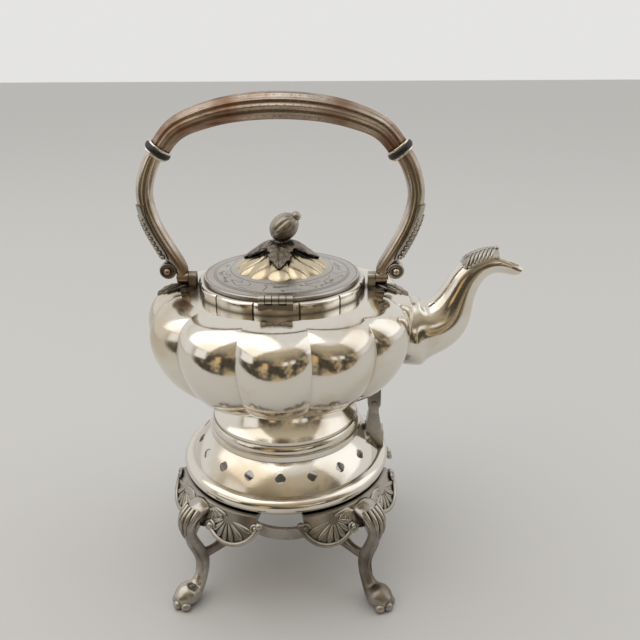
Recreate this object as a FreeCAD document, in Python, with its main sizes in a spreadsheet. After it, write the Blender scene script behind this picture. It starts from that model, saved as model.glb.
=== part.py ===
"""Silver spirit kettle on a pierced stand, as a parametric document.

Frame: millimetres, +Z up, origin on the stand's axis at the table, +X towards the spout, -Y towards the
lid hinge. The kettle sits on the stand's collar and tips about a pin on the post under its spout.
"""
import FreeCAD
import Part
import Sketcher
import math
import os

from FreeCAD import Placement, Rotation, Vector

# Driving sizes: alias, value in millimetres (or a count, or degrees), and what it is
SIZES = [
    ("sheet_wall", 1.5, "wall of the spun sheet pieces"),
    ("running_gap", 0.06, "radial clearance of a pin that turns in its eye"),
    ("side_gap", 0.5, "end clearance between hinge knuckles"),
    ("rim_radius", 84.0, "outermost radius of the stand's rolled rim"),
    ("rim_bead", 6.45, "radius of the rolled bead on the rim"),
    ("rim_middle", 94.6, "height of the middle of the bead"),
    ("rim_edge_radius", 76.5, "radius of the rim's lower edge"),
    ("rim_edge", 85.2, "height of the rim's lower edge"),
    ("rim_bore", 73.0, "inner radius of the rim"),
    ("dome_radius", 76.4, "radius of the dome at its foot"),
    ("dome_neck", 59.9, "radius of the dome at its top"),
    ("dome_rise", 19.5, "height of the dome"),
    ("dome_sweep", 62.0, "radius of the dome's curved profile"),
    ("pierce_count", 18, "number of pierced quatrefoils"),
    ("pierce_lobe", 2.5, "radius of one lobe of a quatrefoil"),
    ("pierce_reach", 3.2, "distance of a lobe from the middle of its quatrefoil"),
    ("collar_radius", 61.0, "radius of the collar's lower band"),
    ("collar_band", 4.2, "height of the collar's lower band"),
    ("collar_rise", 11.6, "height of the collar"),
    ("collar_bore", 53.5, "inner radius of the collar"),
    ("collar_bulge", 7.0, "profile radius of the collar's upper band"),
    ("leg_count", 4, "number of legs"),
    ("knee_radius", 101.2, "distance of a knee from the axis"),
    ("knee_height", 74.5, "height of a knee"),
    ("ankle_radius", 90.0, "distance of an ankle from the axis"),
    ("ankle_height", 33.0, "height of an ankle"),
    ("ankle_half", 5.2, "half thickness of an ankle"),
    ("foot_radius", 106.5, "distance of a paw from the axis"),
    ("foot_half", 9.0, "half height of a paw before its sole is cut flat"),
    ("loop_radius", 81.0, "distance of a leg's open loop from the axis"),
    ("loop_height", 55.0, "height of the middle of the loop"),
    ("loop_width", 17.6, "half width of the loop at the middle of its bead"),
    ("loop_rise", 16.6, "half height of the loop at the middle of its bead"),
    ("loop_bead", 2.9, "radius of the bead round the loop"),
    ("apron_span", 33.0, "half angle of an apron, in degrees"),
    ("apron_drop", 21.0, "drop of an apron below the rim"),
    ("apron_flare", 94.0, "radius of an apron at its lower edge"),
    ("apron_wall", 3.0, "thickness of an apron"),
    ("scroll_bead", 1.9, "radius of the C-scroll bead along an apron"),
    ("burner_radius", 42.0, "outer radius of the burner ring"),
    ("burner_bore", 39.5, "inner radius of the burner ring"),
    ("burner_low", 34.0, "height of the lower edge of the burner ring"),
    ("burner_rise", 11.0, "height of the burner ring's band"),
    ("arm_half", 3.6, "half thickness of a burner arm"),
    ("tilt_radius", 72.0, "distance of the tilt pin from the axis"),
    ("tilt_height", 141.0, "height of the tilt pin"),
    ("tilt_pin_radius", 2.2, "radius of the tilt pin"),
    ("tilt_eye", 5.2, "outer radius of the eye on the tilt post"),
    ("tilt_eye_half", 4.0, "half length of the eye on the tilt post"),
    ("tilt_ear", 3.0, "thickness of an ear of the tilt lug"),
    ("post_foot", 15.0, "width of the tilt post at its foot"),
    ("post_depth", 12.0, "depth of the tilt post at its foot"),
    ("post_moulding", 14.0, "height of the moulding at the foot of the tilt post"),
    ("kettle_foot_radius", 57.7, "radius of the kettle's foot"),
    ("kettle_foot_band", 2.8, "height of the plain band at the kettle's foot"),
    ("kettle_foot_neck", 47.0, "radius of the kettle's foot at its top"),
    ("kettle_foot_rise", 26.4, "height of the kettle's foot"),
    ("kettle_foot_cove", 34.0, "profile radius of the foot's hollow sweep"),
    ("lobe_count", 12, "number of lobes round the body"),
    ("lobe_depth", 6.6, "depth of the valleys between the lobes"),
    ("body_radius", 103.8, "radius of the body over its lobes"),
    ("body_base", 51.0, "radius of the body's base"),
    ("body_low", 57.0, "height of the body below its widest line"),
    ("body_high", 23.0, "height of the body above its widest line"),
    ("ledge_radius", 74.0, "radius of the flat shoulder"),
    ("mouth_bore", 56.6, "radius of the mouth"),
    ("border_radius", 63.0, "radius of the mouth border over its pads"),
    ("border_notch", 1.3, "depth of the notches between the pads of the border"),
    ("border_rise", 8.4, "height of the mouth border"),
    ("border_round", 2.6, "rounding of the border's upper edge"),
    ("lid_gap", 0.3, "clearance under the lid's rim"),
    ("lid_radius", 58.5, "radius of the lid"),
    ("lid_edge", 3.0, "height of the lid's rim"),
    ("lid_border", 7.5, "width of the lid's flat border"),
    ("lid_dome", 8.0, "rise of the lid's dome above its border"),
    ("bezel_gap", 1.0, "radial clearance of the lid's bezel in the mouth"),
    ("bezel_drop", 6.0, "depth of the bezel below the lid's rim"),
    ("hinge_offset", 62.9, "distance of the lid hinge from the axis"),
    ("hinge_barrel", 3.2, "radius of the lid hinge's knuckles"),
    ("hinge_length", 23.6, "length of the lid hinge"),
    ("hinge_pin_radius", 1.2, "radius of the lid hinge's pin"),
    ("hinge_plate", 1.4, "thickness of the hinge leaves"),
    ("petal_count", 12, "number of petals round the finial"),
    ("petal_radius", 37.0, "radius of the petals at the lid"),
    ("petal_top", 9.0, "radius of the petals at their top"),
    ("petal_rise", 19.3, "height of the petals above the lid's border"),
    ("leaf_reach", 30.0, "reach of the leaves under the bud"),
    ("leaf_lift", 3.9, "height of the leaves' hub above the petals"),
    ("bud_length", 11.8, "half length of the melon bud"),
    ("bud_half", 9.8, "half thickness of the melon bud"),
    ("bud_lean", 48.0, "lean of the bud towards the spout, in degrees"),
    ("bud_height", 285.0, "height of the middle of the bud"),
    ("stud_radius", 2.0, "radius of the finial's stud"),
    ("swing_height", 246.0, "height of the handle's pivots"),
    ("swing_eye", 4.6, "outer radius of the handle's eyes and lugs"),
    ("swing_pin_radius", 2.0, "radius of a handle pivot"),
    ("lug_inner", 65.2, "distance of a pivot lug's inner face from the axis"),
    ("lug_width", 5.4, "width of a pivot lug"),
    ("eye_width", 8.4, "width of an eye at the foot of a handle arm"),
    ("arm_reach", 99.0, "distance of a handle arm's widest point from the axis"),
    ("arm_widest", 309.0, "height of the handle arm's widest point"),
    ("arm_radius", 6.2, "half thickness of a handle arm"),
    ("volute_radius", 6.3, "radius of the volute at the foot of a handle arm"),
    ("joint_reach", 86.2, "distance of an insulator from the axis"),
    ("joint_height", 340.8, "height of an insulator"),
    ("joint_lean", 52.0, "slope of the handle at an insulator, in degrees"),
    ("insulator_radius", 9.9, "radius of an insulator"),
    ("insulator_width", 4.2, "thickness of an insulator"),
    ("ferrule_width", 1.6, "thickness of the silver collars beside an insulator"),
    ("ferrule_radius", 9.2, "radius of the silver collars"),
    ("tenon_radius", 3.6, "radius of an insulator's tenons"),
    ("tenon_length", 9.0, "length of an insulator's tenons"),
    ("grip_top", 371.6, "height of the middle of the grip"),
    ("grip_reach", 87.5, "half length of the bow that the grip follows"),
    ("grip_bow", 36.0, "height of the bow that the grip follows"),
    ("grip_half", 9.4, "half thickness of the grip at its middle"),
    ("grip_end", 7.4, "half thickness of the grip at its ends"),
    ("reed_count", 12, "number of reeds round the grip"),
    ("reed_depth", 0.09, "depth of the reeding as a share of the grip's thickness"),
    ("spout_reach", 178.6, "distance of the spout's lip from the axis"),
    ("spout_root", 27.5, "half height of the spout where it leaves the body"),
    ("spout_wall", 1.3, "wall of the spout"),
    ("leaf_wall", 1.3, "thickness of the cast leaves"),
]

doc = FreeCAD.newDocument("SpiritKettle")
sheet = doc.addObject("Spreadsheet::Sheet", "Sizes")
for row, (alias, value, note) in enumerate(SIZES, start=1):
    sheet.set(f"A{row}", note)
    sheet.set(f"B{row}", str(value))
    sheet.setAlias(f"B{row}", alias)
doc.recompute()


class Dim:
    """A size: its value in millimetres and the sheet expression that gives it."""

    def __init__(self, value, text):
        self.value = float(value)
        self.text = text

    @staticmethod
    def of(other):
        return other if isinstance(other, Dim) else Dim(other, repr(float(other)))

    def joined(self, sign, other, value):
        return Dim(value, f"({self.text} {sign} {Dim.of(other).text})")

    def __float__(self):
        return self.value

    def __add__(self, other):
        return self.joined("+", other, self.value + float(other))

    def __sub__(self, other):
        return self.joined("-", other, self.value - float(other))

    def __mul__(self, other):
        return self.joined("*", other, self.value * float(other))

    def __truediv__(self, other):
        return self.joined("/", other, self.value / float(other))

    def __radd__(self, other):
        return Dim.of(other) + self

    def __rsub__(self, other):
        return Dim.of(other) - self

    __rmul__ = __mul__


class Sizes:
    """The sheet's cells, each read as a Dim by its alias."""

    def __getattr__(self, alias):
        return Dim(sheet.get(alias), f"Sizes.{alias}")


size = Sizes()

# Heights that follow from the driving sizes, from the table upwards
BEAD_REACH = 0.995
DOME_FOOT = size.rim_middle + size.rim_bead * BEAD_REACH
COLLAR_FOOT = DOME_FOOT + size.dome_rise
SEAT = COLLAR_FOOT + size.collar_rise
BODY_FLOOR = SEAT + size.kettle_foot_rise
BODY_WIDEST = BODY_FLOOR + size.body_low
BODY_TOP = BODY_WIDEST + size.body_high
BORDER_TOP = BODY_TOP + size.border_rise
LID_RIM = BORDER_TOP + size.lid_gap
LID_BORDER = LID_RIM + size.lid_edge
HINGE_HEIGHT = LID_BORDER + 0.4

OVAL_POINTS = 8
named_pieces = []


def keep(piece, label):
    """Gives a finished piece its name and puts it on the list to be written."""
    piece.Label = label
    named_pieces.append(piece)
    return piece


def bind(piece, **sizes):
    """Ties properties of a piece to the sheet; a double underscore stands for a dot."""
    for name, dim in sizes.items():
        piece.setExpression(name.replace("__", "."), Dim.of(dim).text)
    return piece


def origin_feature(body, role):
    return next(f for f in body.Origin.OriginFeatures if f.Role == role)


class Outline:
    """A closed sketch of straight runs and arcs, with every corner and radius tied to the sheet."""

    def __init__(self, body, role, name):
        self.sketch = body.newObject("Sketcher::SketchObject", name)
        self.sketch.AttachmentSupport = [(origin_feature(body, role), "")]
        self.sketch.MapMode = "FlatFace"

    def tie(self, kind, place, dim):
        """Adds one dimension to the sketch and ties it to its sheet expression."""
        index = self.sketch.addConstraint(Sketcher.Constraint(kind, *place, float(dim)))
        self.sketch.setExpression(f"Constraints[{index}]", Dim.of(dim).text)

    def pin_corner(self, geometry, end, corner):
        """Ties one end of a line or arc to its place in the sketch."""
        for kind, axis, dim in zip(("DistanceX", "DistanceY"), (-2, -1), corner):
            if float(dim) == 0.0:
                self.sketch.addConstraint(Sketcher.Constraint("PointOnObject", geometry, end, axis))
            else:
                self.tie(kind, (-1, 1, geometry, end), dim)

    def arc(self, start, finish, radius, side):
        """Adds an arc between two corners; side +1 bows it to the left of the run, -1 to the right."""
        chord = finish - start
        height = math.sqrt(max(float(radius) ** 2 - chord.Length ** 2 / 4, 0.0))
        across = Vector(-chord.y, chord.x, 0).normalize()
        centre = (start + finish) / 2 - across * height * side
        ends = (finish, start) if side > 0 else (start, finish)
        angles = [math.atan2(p.y - centre.y, p.x - centre.x) for p in ends]
        circle = Part.Circle(centre, Vector(0, 0, 1), float(radius))
        index = self.sketch.addGeometry(Part.ArcOfCircle(circle, *angles), False)
        return index, (2, 1) if side > 0 else (1, 2)

    def closed(self, corners):
        """Draws the outline through corners (x, y) or (x, y, radius, side) for an arc to the next one."""
        places = [Vector(float(c[0]), float(c[1]), 0) for c in corners]
        runs = []
        for k, corner in enumerate(corners):
            start, finish = places[k], places[(k + 1) % len(places)]
            if len(corner) == 2:
                index = self.sketch.addGeometry(Part.LineSegment(start, finish), False)
                runs.append((index, (1, 2)))
            else:
                runs.append(self.arc(start, finish, corner[2], corner[3]))
        for k, (index, ends) in enumerate(runs):
            after, after_ends = runs[(k + 1) % len(runs)]
            self.sketch.addConstraint(Sketcher.Constraint("Coincident", index, ends[1], after, after_ends[0]))
            self.pin_corner(index, ends[0], corners[k][:2])
            if len(corners[k]) > 2:
                self.tie("Radius", (index,), corners[k][2])
        return self.sketch


def turned(label, corners):
    """A piece turned about its own Z axis from an outline of (radius, height) corners."""
    body = doc.addObject("PartDesign::Body", label)
    spin = body.newObject("PartDesign::Revolution", f"{label}_turning")
    spin.Profile = Outline(body, "XZ_Plane", f"{label}_profile").closed(corners)
    spin.ReferenceAxis = (spin.Profile[0], ["V_Axis"])
    spin.Angle = 360
    body.Tip = spin
    return body


def rod(name, radius, length, centre, direction):
    """A cylinder of the given length, centred on a point and laid along a direction."""
    piece = doc.addObject("Part::Cylinder", name)
    bind(piece, Radius=radius, Height=length)
    lay = Rotation(Vector(0, 0, 1), direction)
    piece.Placement = Placement(Vector(*[float(c) for c in centre]) - direction * (float(length) / 2), lay)
    half = Dim.of(length) / 2
    for axis, place, share in zip("xyz", centre, direction):
        piece.setExpression(f"Placement.Base.{axis}", (Dim.of(place) - half * share).text)
    return piece


def cast(label, shape):
    """A free-form cast piece, kept under its name."""
    piece = doc.addObject("Part::Feature", label)
    piece.Shape = shape
    return keep(piece, label)


def rosette(crest, valley, count, frame):
    """A ring of outward arcs from valley to valley, laid in a frame's XY plane."""
    step = 2 * math.pi / count

    def at(radius, angle):
        return frame.multVec(Vector(radius * math.cos(angle), radius * math.sin(angle), 0))

    arcs = []
    for k in range(count):
        middle = k * step
        ends = at(valley, middle - step / 2), at(valley, middle + step / 2)
        arcs.append(Part.Arc(ends[0], at(crest, middle), ends[1]).toShape())
    return arcs


def eased(arc):
    """A smooth curve through five even points of an arc."""
    even = [k / 4 for k in range(5)]
    span = arc.LastParameter - arc.FirstParameter
    curve = Part.BSplineCurve()
    curve.interpolate(Points=[arc.valueAt(arc.FirstParameter + span * k) for k in even], Parameters=even)
    return curve.toShape()


def lobed(rings):
    """A solid with one smooth strip for each lobe, through rings of arcs, closed by flat ends."""
    faces = []
    rings = [[eased(arc) for arc in ring] for ring in rings]
    for strip in zip(*rings):
        faces += Part.makeLoft([Part.Wire([arc]) for arc in strip], False, False).Faces
    faces += [Part.Face(Part.Wire(ring)) for ring in (rings[0], rings[-1])]
    skin = Part.Shell(faces)
    skin.sewShape()
    solid = Part.Solid(skin)
    if solid.Volume < 0:
        solid.reverse()
    return solid


def level(height):
    """The frame of a level section at a height."""
    return Placement(Vector(0, 0, height), Rotation())


def section_frames(places):
    """Frames square to a path in the XZ plane: X in the plane, Y across it, Z along the path."""
    frames = []
    for k, place in enumerate(places):
        ahead = places[min(k + 1, len(places) - 1)]
        behind = places[max(k - 1, 0)]
        along = (ahead - behind).normalize()
        across = Vector(0, 1, 0)
        frames.append(Placement(place, Rotation(across.cross(along), across, along, "ZYX")))
    return frames


def smooth_ring(points):
    """A closed smooth curve through points, evenly spaced along it."""
    ring = Part.BSplineCurve()
    even = [k / len(points) for k in range(len(points) + 1)]
    ring.interpolate(Points=points, PeriodicFlag=True, Parameters=even)
    return Part.Wire([ring.toShape()])


def oval(frame, in_plane, across):
    """An oval ring of two half thicknesses, square to a path."""
    turns = [2 * math.pi * k / OVAL_POINTS for k in range(OVAL_POINTS)]
    flat = [Vector(in_plane * math.cos(a), across * math.sin(a), 0) for a in turns]
    return smooth_ring([frame.multVec(point) for point in flat])


def reeded(frame, crest, valley, count):
    """A ring that waves between crests and valleys, square to a path."""
    points = []
    for k in range(2 * count):
        radius, angle = (valley if k % 2 else crest), math.pi * k / count
        points.append(frame.multVec(Vector(radius * math.cos(angle), radius * math.sin(angle), 0)))
    return smooth_ring(points)


def limb(stations, grow=0.0):
    """A smooth limb in the XZ plane through stations (x, z, half thickness in plane, half across)."""
    frames = section_frames([Vector(float(s[0]), 0, float(s[1])) for s in stations])
    rings = [oval(f, float(s[2]) + grow, float(s[3]) + grow) for f, s in zip(frames, stations)]
    return Part.makeLoft(rings, True, False)


def prism(corners, depth):
    """A prism through an outline in the XZ plane, reaching the given depth to both sides of it."""
    wire = Part.makePolygon([Vector(x, -depth, z) for x, z in corners + corners[:1]])
    return Part.Face(wire).extrude(Vector(0, 2 * depth, 0))


def turned_about_axis(shape, degrees):
    copy = shape.copy()
    copy.rotate(Vector(0, 0, 0), Vector(0, 0, 1), degrees)
    return copy


def mirrored(shape):
    return shape.mirror(Vector(0, 0, 0), Vector(1, 0, 0))


# The stand: a rolled rim, a pierced dome and the collar that the kettle sits on
def make_rim():
    centre = size.rim_radius - size.rim_bead * (1 - math.sqrt(1 - BEAD_REACH ** 2))
    low = size.rim_middle - size.rim_bead * BEAD_REACH
    corners = [
        (size.rim_bore, size.rim_edge),
        (size.rim_edge_radius, size.rim_edge),
        (centre, low, size.rim_bead, -1),
        (centre, DOME_FOOT),
        (size.rim_bore, DOME_FOOT),
    ]
    return keep(turned("stand_rim", corners), "stand_rim")


def make_dome():
    """The spun dome, with a quatrefoil cut square to its wall and repeated round it."""
    slant = size.sheet_wall * 1.35
    corners = [
        (size.dome_radius - slant, DOME_FOOT),
        (size.dome_radius, DOME_FOOT, size.dome_sweep, -1),
        (size.dome_neck, COLLAR_FOOT),
        (size.dome_neck - slant, COLLAR_FOOT, size.dome_sweep, 1),
    ]
    body = turned("stand_dome", corners)
    run = float(size.dome_radius - size.dome_neck)
    tilt = math.degrees(math.atan2(run, float(size.dome_rise)))
    stand_off = 4.0
    middle = Vector(0, float(DOME_FOOT + size.dome_rise / 2), float((size.dome_radius + size.dome_neck) / 2))
    outward = Vector(0, math.sin(math.radians(tilt)), math.cos(math.radians(tilt)))
    outline = Outline(body, "XZ_Plane", "quatrefoil")
    lean_back = Rotation(Vector(1, 0, 0), -tilt)
    outline.sketch.AttachmentOffset = Placement(middle + outward * stand_off, lean_back)
    reach, lobe = float(size.pierce_reach), float(size.pierce_lobe)
    share = (reach + math.sqrt(2 * lobe ** 2 - reach ** 2)) / 2 / reach
    notch = size.pierce_reach * share
    signs = [(1, -1), (1, 1), (-1, 1), (-1, -1)]
    outline.closed([(notch * sx, notch * sy, size.pierce_lobe, -1) for sx, sy in signs])
    cut = body.newObject("PartDesign::Pocket", "quatrefoil_cut")
    cut.Profile = outline.sketch
    cut.Length = 3 * stand_off
    ring = body.newObject("PartDesign::PolarPattern", "quatrefoil_ring")
    ring.Originals = [cut]
    ring.Axis = (origin_feature(body, "Z_Axis"), [""])
    ring.Angle = 360
    bind(ring, Occurrences=size.pierce_count)
    body.Tip = ring
    return keep(body, "stand_dome")


def make_collar():
    band = COLLAR_FOOT + size.collar_band
    corners = [
        (size.collar_bore, COLLAR_FOOT),
        (size.collar_radius, COLLAR_FOOT),
        (size.collar_radius, band),
        (size.collar_radius - 1.5, band + 0.7, size.collar_bulge, -1),
        (size.kettle_foot_radius + 0.8, SEAT),
        (size.collar_bore, SEAT),
    ]
    return keep(turned("seat_collar", corners), "seat_collar")


# The legs: cast scroll legs with an open loop, a shell apron under the rim and a paw
def leg_stem():
    knee_r, knee_z = float(size.knee_radius), float(size.knee_height)
    ankle_r, ankle_z, ankle = float(size.ankle_radius), float(size.ankle_height), float(size.ankle_half)
    foot_r, paw = float(size.foot_radius), float(size.foot_half)
    sole = paw - 0.7
    return limb([
        (knee_r - 17.0, knee_z + 7.0, 3.4, 10.0),
        (knee_r - 5.5, knee_z + 6.0, 4.6, 9.5),
        (knee_r + 0.2, knee_z - 2.0, 4.8, 8.0),
        (knee_r - 1.6, knee_z - 14.0, 4.6, 6.2),
        (knee_r - 6.4, knee_z - 26.5, 4.8, 5.2),
        (ankle_r, ankle_z, ankle, ankle * 0.9),
        (ankle_r + 1.6, ankle_z - 11.5, ankle, ankle * 0.9),
        (ankle_r + 6.5, ankle_z - 20.0, ankle * 1.25, ankle * 1.15),
        (foot_r - 4.0, sole + 1.0, paw, paw * 1.0),
        (foot_r + 4.5, sole - 0.3, paw * 0.92, paw * 0.96),
        (foot_r + 10.0, sole - 1.0, paw * 0.5, paw * 0.52),
    ])


def leg_toes():
    """Three toes round the front of the paw."""
    paw = float(size.foot_half)
    toe = paw * 0.46
    toes = []
    for angle in (-52.0, 0.0, 52.0):
        turn = math.radians(angle)
        reach = float(size.foot_radius) + 1.5 + paw * 0.82 * math.cos(turn)
        toes.append(Part.makeSphere(toe, Vector(reach, paw * 0.82 * math.sin(turn), toe * 0.9)))
    return toes


def leg_loop():
    """The open loop behind the knee: a round bead along an oval."""
    centre = Vector(float(size.loop_radius), 0, float(size.loop_height))
    half_width, half_rise = float(size.loop_width), float(size.loop_rise)
    oval_line = Part.Ellipse(Vector(0, 0, 0), half_width, half_rise)
    path = Part.Wire([oval_line.toShape()])
    path.Placement = Placement(centre, Rotation(Vector(1, 0, 0), 90))
    start = centre + Vector(half_width, 0, 0)
    bead = Part.Wire([Part.makeCircle(float(size.loop_bead), start, Vector(0, 0, 1))])
    return path.makePipeShell([bead], True, True)


def apron_profile():
    """The apron's section: a flange under the rim that flares out to the lower edge."""
    wall = float(size.apron_wall)
    edge, top = float(size.rim_edge_radius), float(size.rim_edge)
    low, flare = top - float(size.apron_drop), float(size.apron_flare)
    lip = top + wall
    return [
        (edge - wall, top), (edge + 0.5, top), (edge + 6.0, lip), (edge + 8.6, lip - 0.8),
        (flare, low), (flare - wall, low), (edge + 5.0, top - wall), (edge - wall, top - wall),
    ]


def leg_apron():
    """A flared shell under the rim, trimmed below by a pair of C-scrolls and a middle drop."""
    span = float(size.apron_span)
    top = float(size.rim_edge)
    reach = float(size.apron_flare) * math.sin(math.radians(span))
    wire = Part.makePolygon([Vector(r, 0, z) for r, z in apron_profile() + apron_profile()[:1]])
    shell = Part.Face(wire).revolve(Vector(0, 0, 0), Vector(0, 0, 1), 2 * span)
    shell = turned_about_axis(shell, -span)
    near = float(size.apron_flare) * 0.6
    far = float(size.apron_flare) * 1.2
    scroll = scroll_line(reach, top)
    trim_low = top - float(size.apron_drop) * 1.2

    def at(y, z):
        return Vector(near, y, z)

    left = [at(-p[0], p[1]) for p in reversed(scroll)]
    right = [at(*p) for p in scroll]
    edges = [
        Part.Arc(left[0], left[1], left[2]).toShape(),
        Part.Arc(left[2], at(0, trim_low + 8.0), right[0]).toShape(),
        Part.Arc(right[0], right[1], right[2]).toShape(),
        Part.makeLine(right[2], at(reach * 1.02, top + 6)),
        Part.makeLine(at(reach * 1.02, top + 6), at(-reach * 1.02, top + 6)),
        Part.makeLine(at(-reach * 1.02, top + 6), left[0]),
    ]
    shield = Part.Face(Part.Wire(edges)).extrude(Vector(far - near, 0, 0))
    return shell.common(shield)


def scroll_line(reach, top):
    """Start, lowest point and end of one C-scroll, as (across, height)."""
    drop = float(size.apron_drop)
    shares = ((0.26, 0.62), (0.62, 0.98), (0.98, 0.2))
    return [(reach * across, top - drop * down) for across, down in shares]


def scroll_beads():
    """Round beads with ball ends along the C-scrolls of an apron."""
    top = float(size.rim_edge)
    reach = float(size.apron_flare) * math.sin(math.radians(float(size.apron_span)))
    bead = float(size.scroll_bead)
    solids = []
    for sign in (-1, 1):
        line = []
        for across, height in scroll_line(reach, top):
            line.append(Vector(apron_radius_at(across, height), sign * across, height + bead * 0.6))
        path = Part.Wire([Part.Arc(*line).toShape()])
        start = path.Edges[0].valueAt(path.Edges[0].FirstParameter)
        along = path.Edges[0].tangentAt(path.Edges[0].FirstParameter)
        ring = Part.Wire([Part.makeCircle(bead, start, along)])
        solids.append(path.makePipeShell([ring], True, True))
        solids += [Part.makeSphere(bead * 1.55, end) for end in (line[0], line[2])]
    return solids


def apron_radius_at(across, height):
    """Distance along the leg's own axis of the apron's outer face at a point of the scroll line."""
    edge, top = float(size.rim_edge_radius) + 8.6, float(size.rim_edge) + float(size.apron_wall) - 0.8
    low = float(size.rim_edge) - float(size.apron_drop)
    share = (top - height) / (top - low)
    radius = edge + (float(size.apron_flare) - edge) * share
    return math.sqrt(max(radius ** 2 - across ** 2, 0.0))


def make_legs(rim):
    """Four legs alike, each one casting: stem, loop, apron, scroll beads and paw."""
    pieces = [leg_stem(), leg_loop(), leg_apron()] + scroll_beads() + leg_toes()
    casting = pieces[0].multiFuse(pieces[1:])
    big = 4 * float(size.rim_radius)
    ground = Part.makeBox(big, big, big, Vector(-big / 2, -big / 2, -big))
    casting = casting.cut(ground).cut(rim.Shape).removeSplitter()
    names = ["leg_rear_right", "leg_rear_left", "leg_front_left", "leg_front_right"]
    step = 360.0 / float(size.leg_count)
    return [cast(name, turned_about_axis(casting, step * (k + 0.5))) for k, name in enumerate(names)]


# The burner carrier: a ring held by one flat bar from each leg
def make_burner(legs):
    top = size.burner_low + size.burner_rise
    ring = keep(turned("burner_ring", [
        (size.burner_bore, size.burner_low),
        (size.burner_radius, size.burner_low),
        (size.burner_radius, top - 1.0, 1.0, -1),
        (size.burner_radius - 1.0, top),
        (size.burner_bore, top),
    ]), "burner_ring")
    doc.recompute()
    half = float(size.arm_half)
    inner, outer = float(size.burner_radius) - 3.0, float(size.ankle_radius)
    inner_z = float(size.burner_low) + half
    outer_z = float(size.ankle_height) + half
    bar = limb([(inner, inner_z, half * 0.8, half), (outer, outer_z, half, half * 0.9)])
    reach = float(size.burner_radius)
    core = Part.makeCylinder(reach, 2 * float(top), Vector(0, 0, 0))
    step = 360.0 / float(size.leg_count)
    corners = ["rear_right", "rear_left", "front_left", "front_right"]
    bars = []
    for k, corner in enumerate(corners):
        laid = turned_about_axis(bar, step * (k + 0.5)).cut(core).cut(legs[k].Shape)
        bars.append(cast(f"burner_arm_{corner}", max(laid.Solids, key=lambda solid: solid.Volume)))
    return [ring] + bars


# The body: a lobed vessel raised from sheet, lofted through rings of arcs
def body_sections(inset=0.0):
    """Rings of the vessel as (height, crest, valley), from its base to its flat shoulder."""
    base, widest, ledge = float(size.body_base), float(size.body_radius), float(size.ledge_radius)
    depth = float(size.lobe_depth)
    rings = []
    for turn in (90, 68, 46, 23, 0):
        angle = math.radians(turn)
        crest = base + (widest - base) * math.cos(angle)
        height = float(BODY_WIDEST) - float(size.body_low) * math.sin(angle)
        rings.append((height, crest, crest - depth * (0.30 + 0.70 * math.cos(angle))))
    for turn in (30, 60, 90):
        angle = math.radians(turn)
        crest = ledge + (widest - ledge) * math.cos(angle)
        height = float(BODY_WIDEST) + float(size.body_high) * math.sin(angle)
        rings.append((height, crest, crest - depth * (0.30 + 0.70 * math.cos(angle))))
    low, high = float(BODY_FLOOR), float(BODY_TOP)
    squeeze = (high - low - 2 * inset) / (high - low)
    return [(low + inset + (h - low) * squeeze, c - inset, v - inset) for h, c, v in rings]


def body_form(inset=0.0):
    return lobed([rosette(c, v, int(float(size.lobe_count)), level(h)) for h, c, v in body_sections(inset)])


def make_body(form, spout_bore):
    """The hollow vessel, open at the mouth and where the spout leaves it."""
    wall = float(size.sheet_wall)
    hollow = body_form(wall)
    mouth = Part.makeCylinder(float(size.mouth_bore), 4 * wall, Vector(0, 0, float(BODY_TOP) - 2 * wall))
    return cast("kettle_body", form.cut(hollow).cut(mouth).cut(spout_bore))


def make_border():
    """The border round the mouth: a ring of rounded pads with a narrow notch between them."""
    crest, count = float(size.border_radius), int(float(size.lobe_count))
    rise, rounding = float(size.border_rise), float(size.border_round)
    outline = rosette(crest, crest - float(size.border_notch), count, level(float(BODY_TOP)))
    base = Part.Face(Part.Wire(outline))
    ring = base.extrude(Vector(0, 0, rise))
    upper = [e for e in ring.Edges if e.BoundBox.ZMin > float(BODY_TOP) + rise - 0.01]
    ring = ring.makeFillet(rounding, upper)
    bore = Part.makeCylinder(float(size.mouth_bore), 3 * rise, Vector(0, 0, float(BODY_TOP) - rise))
    depth, width = 2.0 * float(size.border_notch), float(size.border_notch)
    corner = Vector(crest - depth, -width / 2, float(BODY_TOP))
    notch = Part.makeBox(2 * depth, width, 2 * rise, corner)
    step = 360.0 / count
    notches = [turned_about_axis(notch, step * (k + 0.5)) for k in range(count)]
    return cast("mouth_border", ring.cut(bore).cut(notches))


def make_kettle_foot():
    """The spun foot: a plain band, then a hollow sweep up to the vessel's base."""
    wall = size.sheet_wall * 1.15
    band = SEAT + size.kettle_foot_band
    corners = [
        (size.kettle_foot_radius - wall * 2, SEAT),
        (size.kettle_foot_radius, SEAT),
        (size.kettle_foot_radius, band, size.kettle_foot_cove, 1),
        (size.kettle_foot_neck, BODY_FLOOR),
        (size.kettle_foot_neck - wall, BODY_FLOOR, size.kettle_foot_cove, -1),
        (size.kettle_foot_radius - wall * 2, band),
    ]
    return keep(turned("kettle_foot", corners), "kettle_foot")


# The spout: a swan neck with a leaf over its lip
def spout_stations():
    """Stations up the neck as (x, z, half height, half width), from inside the body to the lip."""
    root, reach, low = float(size.spout_root), float(size.spout_reach), float(BODY_FLOOR)
    return [
        (reach - 86.6, low + 44.5, root + 0.8, root * 0.76),
        (reach - 72.0, low + 45.5, root * 0.96, root * 0.72),
        (reach - 61.0, low + 50.0, root * 0.82, root * 0.62),
        (reach - 50.6, low + 59.5, root * 0.66, root * 0.52),
        (reach - 43.8, low + 76.5, root * 0.47, root * 0.43),
        (reach - 37.0, low + 89.6, root * 0.41, root * 0.39),
        (reach - 28.5, low + 97.2, root * 0.36, root * 0.36),
        (reach - 18.5, low + 100.0, root * 0.32, root * 0.34),
        (reach - 8.5, low + 97.6, root * 0.26, root * 0.31),
        (reach, low + 93.6, root * 0.15, root * 0.24),
    ]


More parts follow.
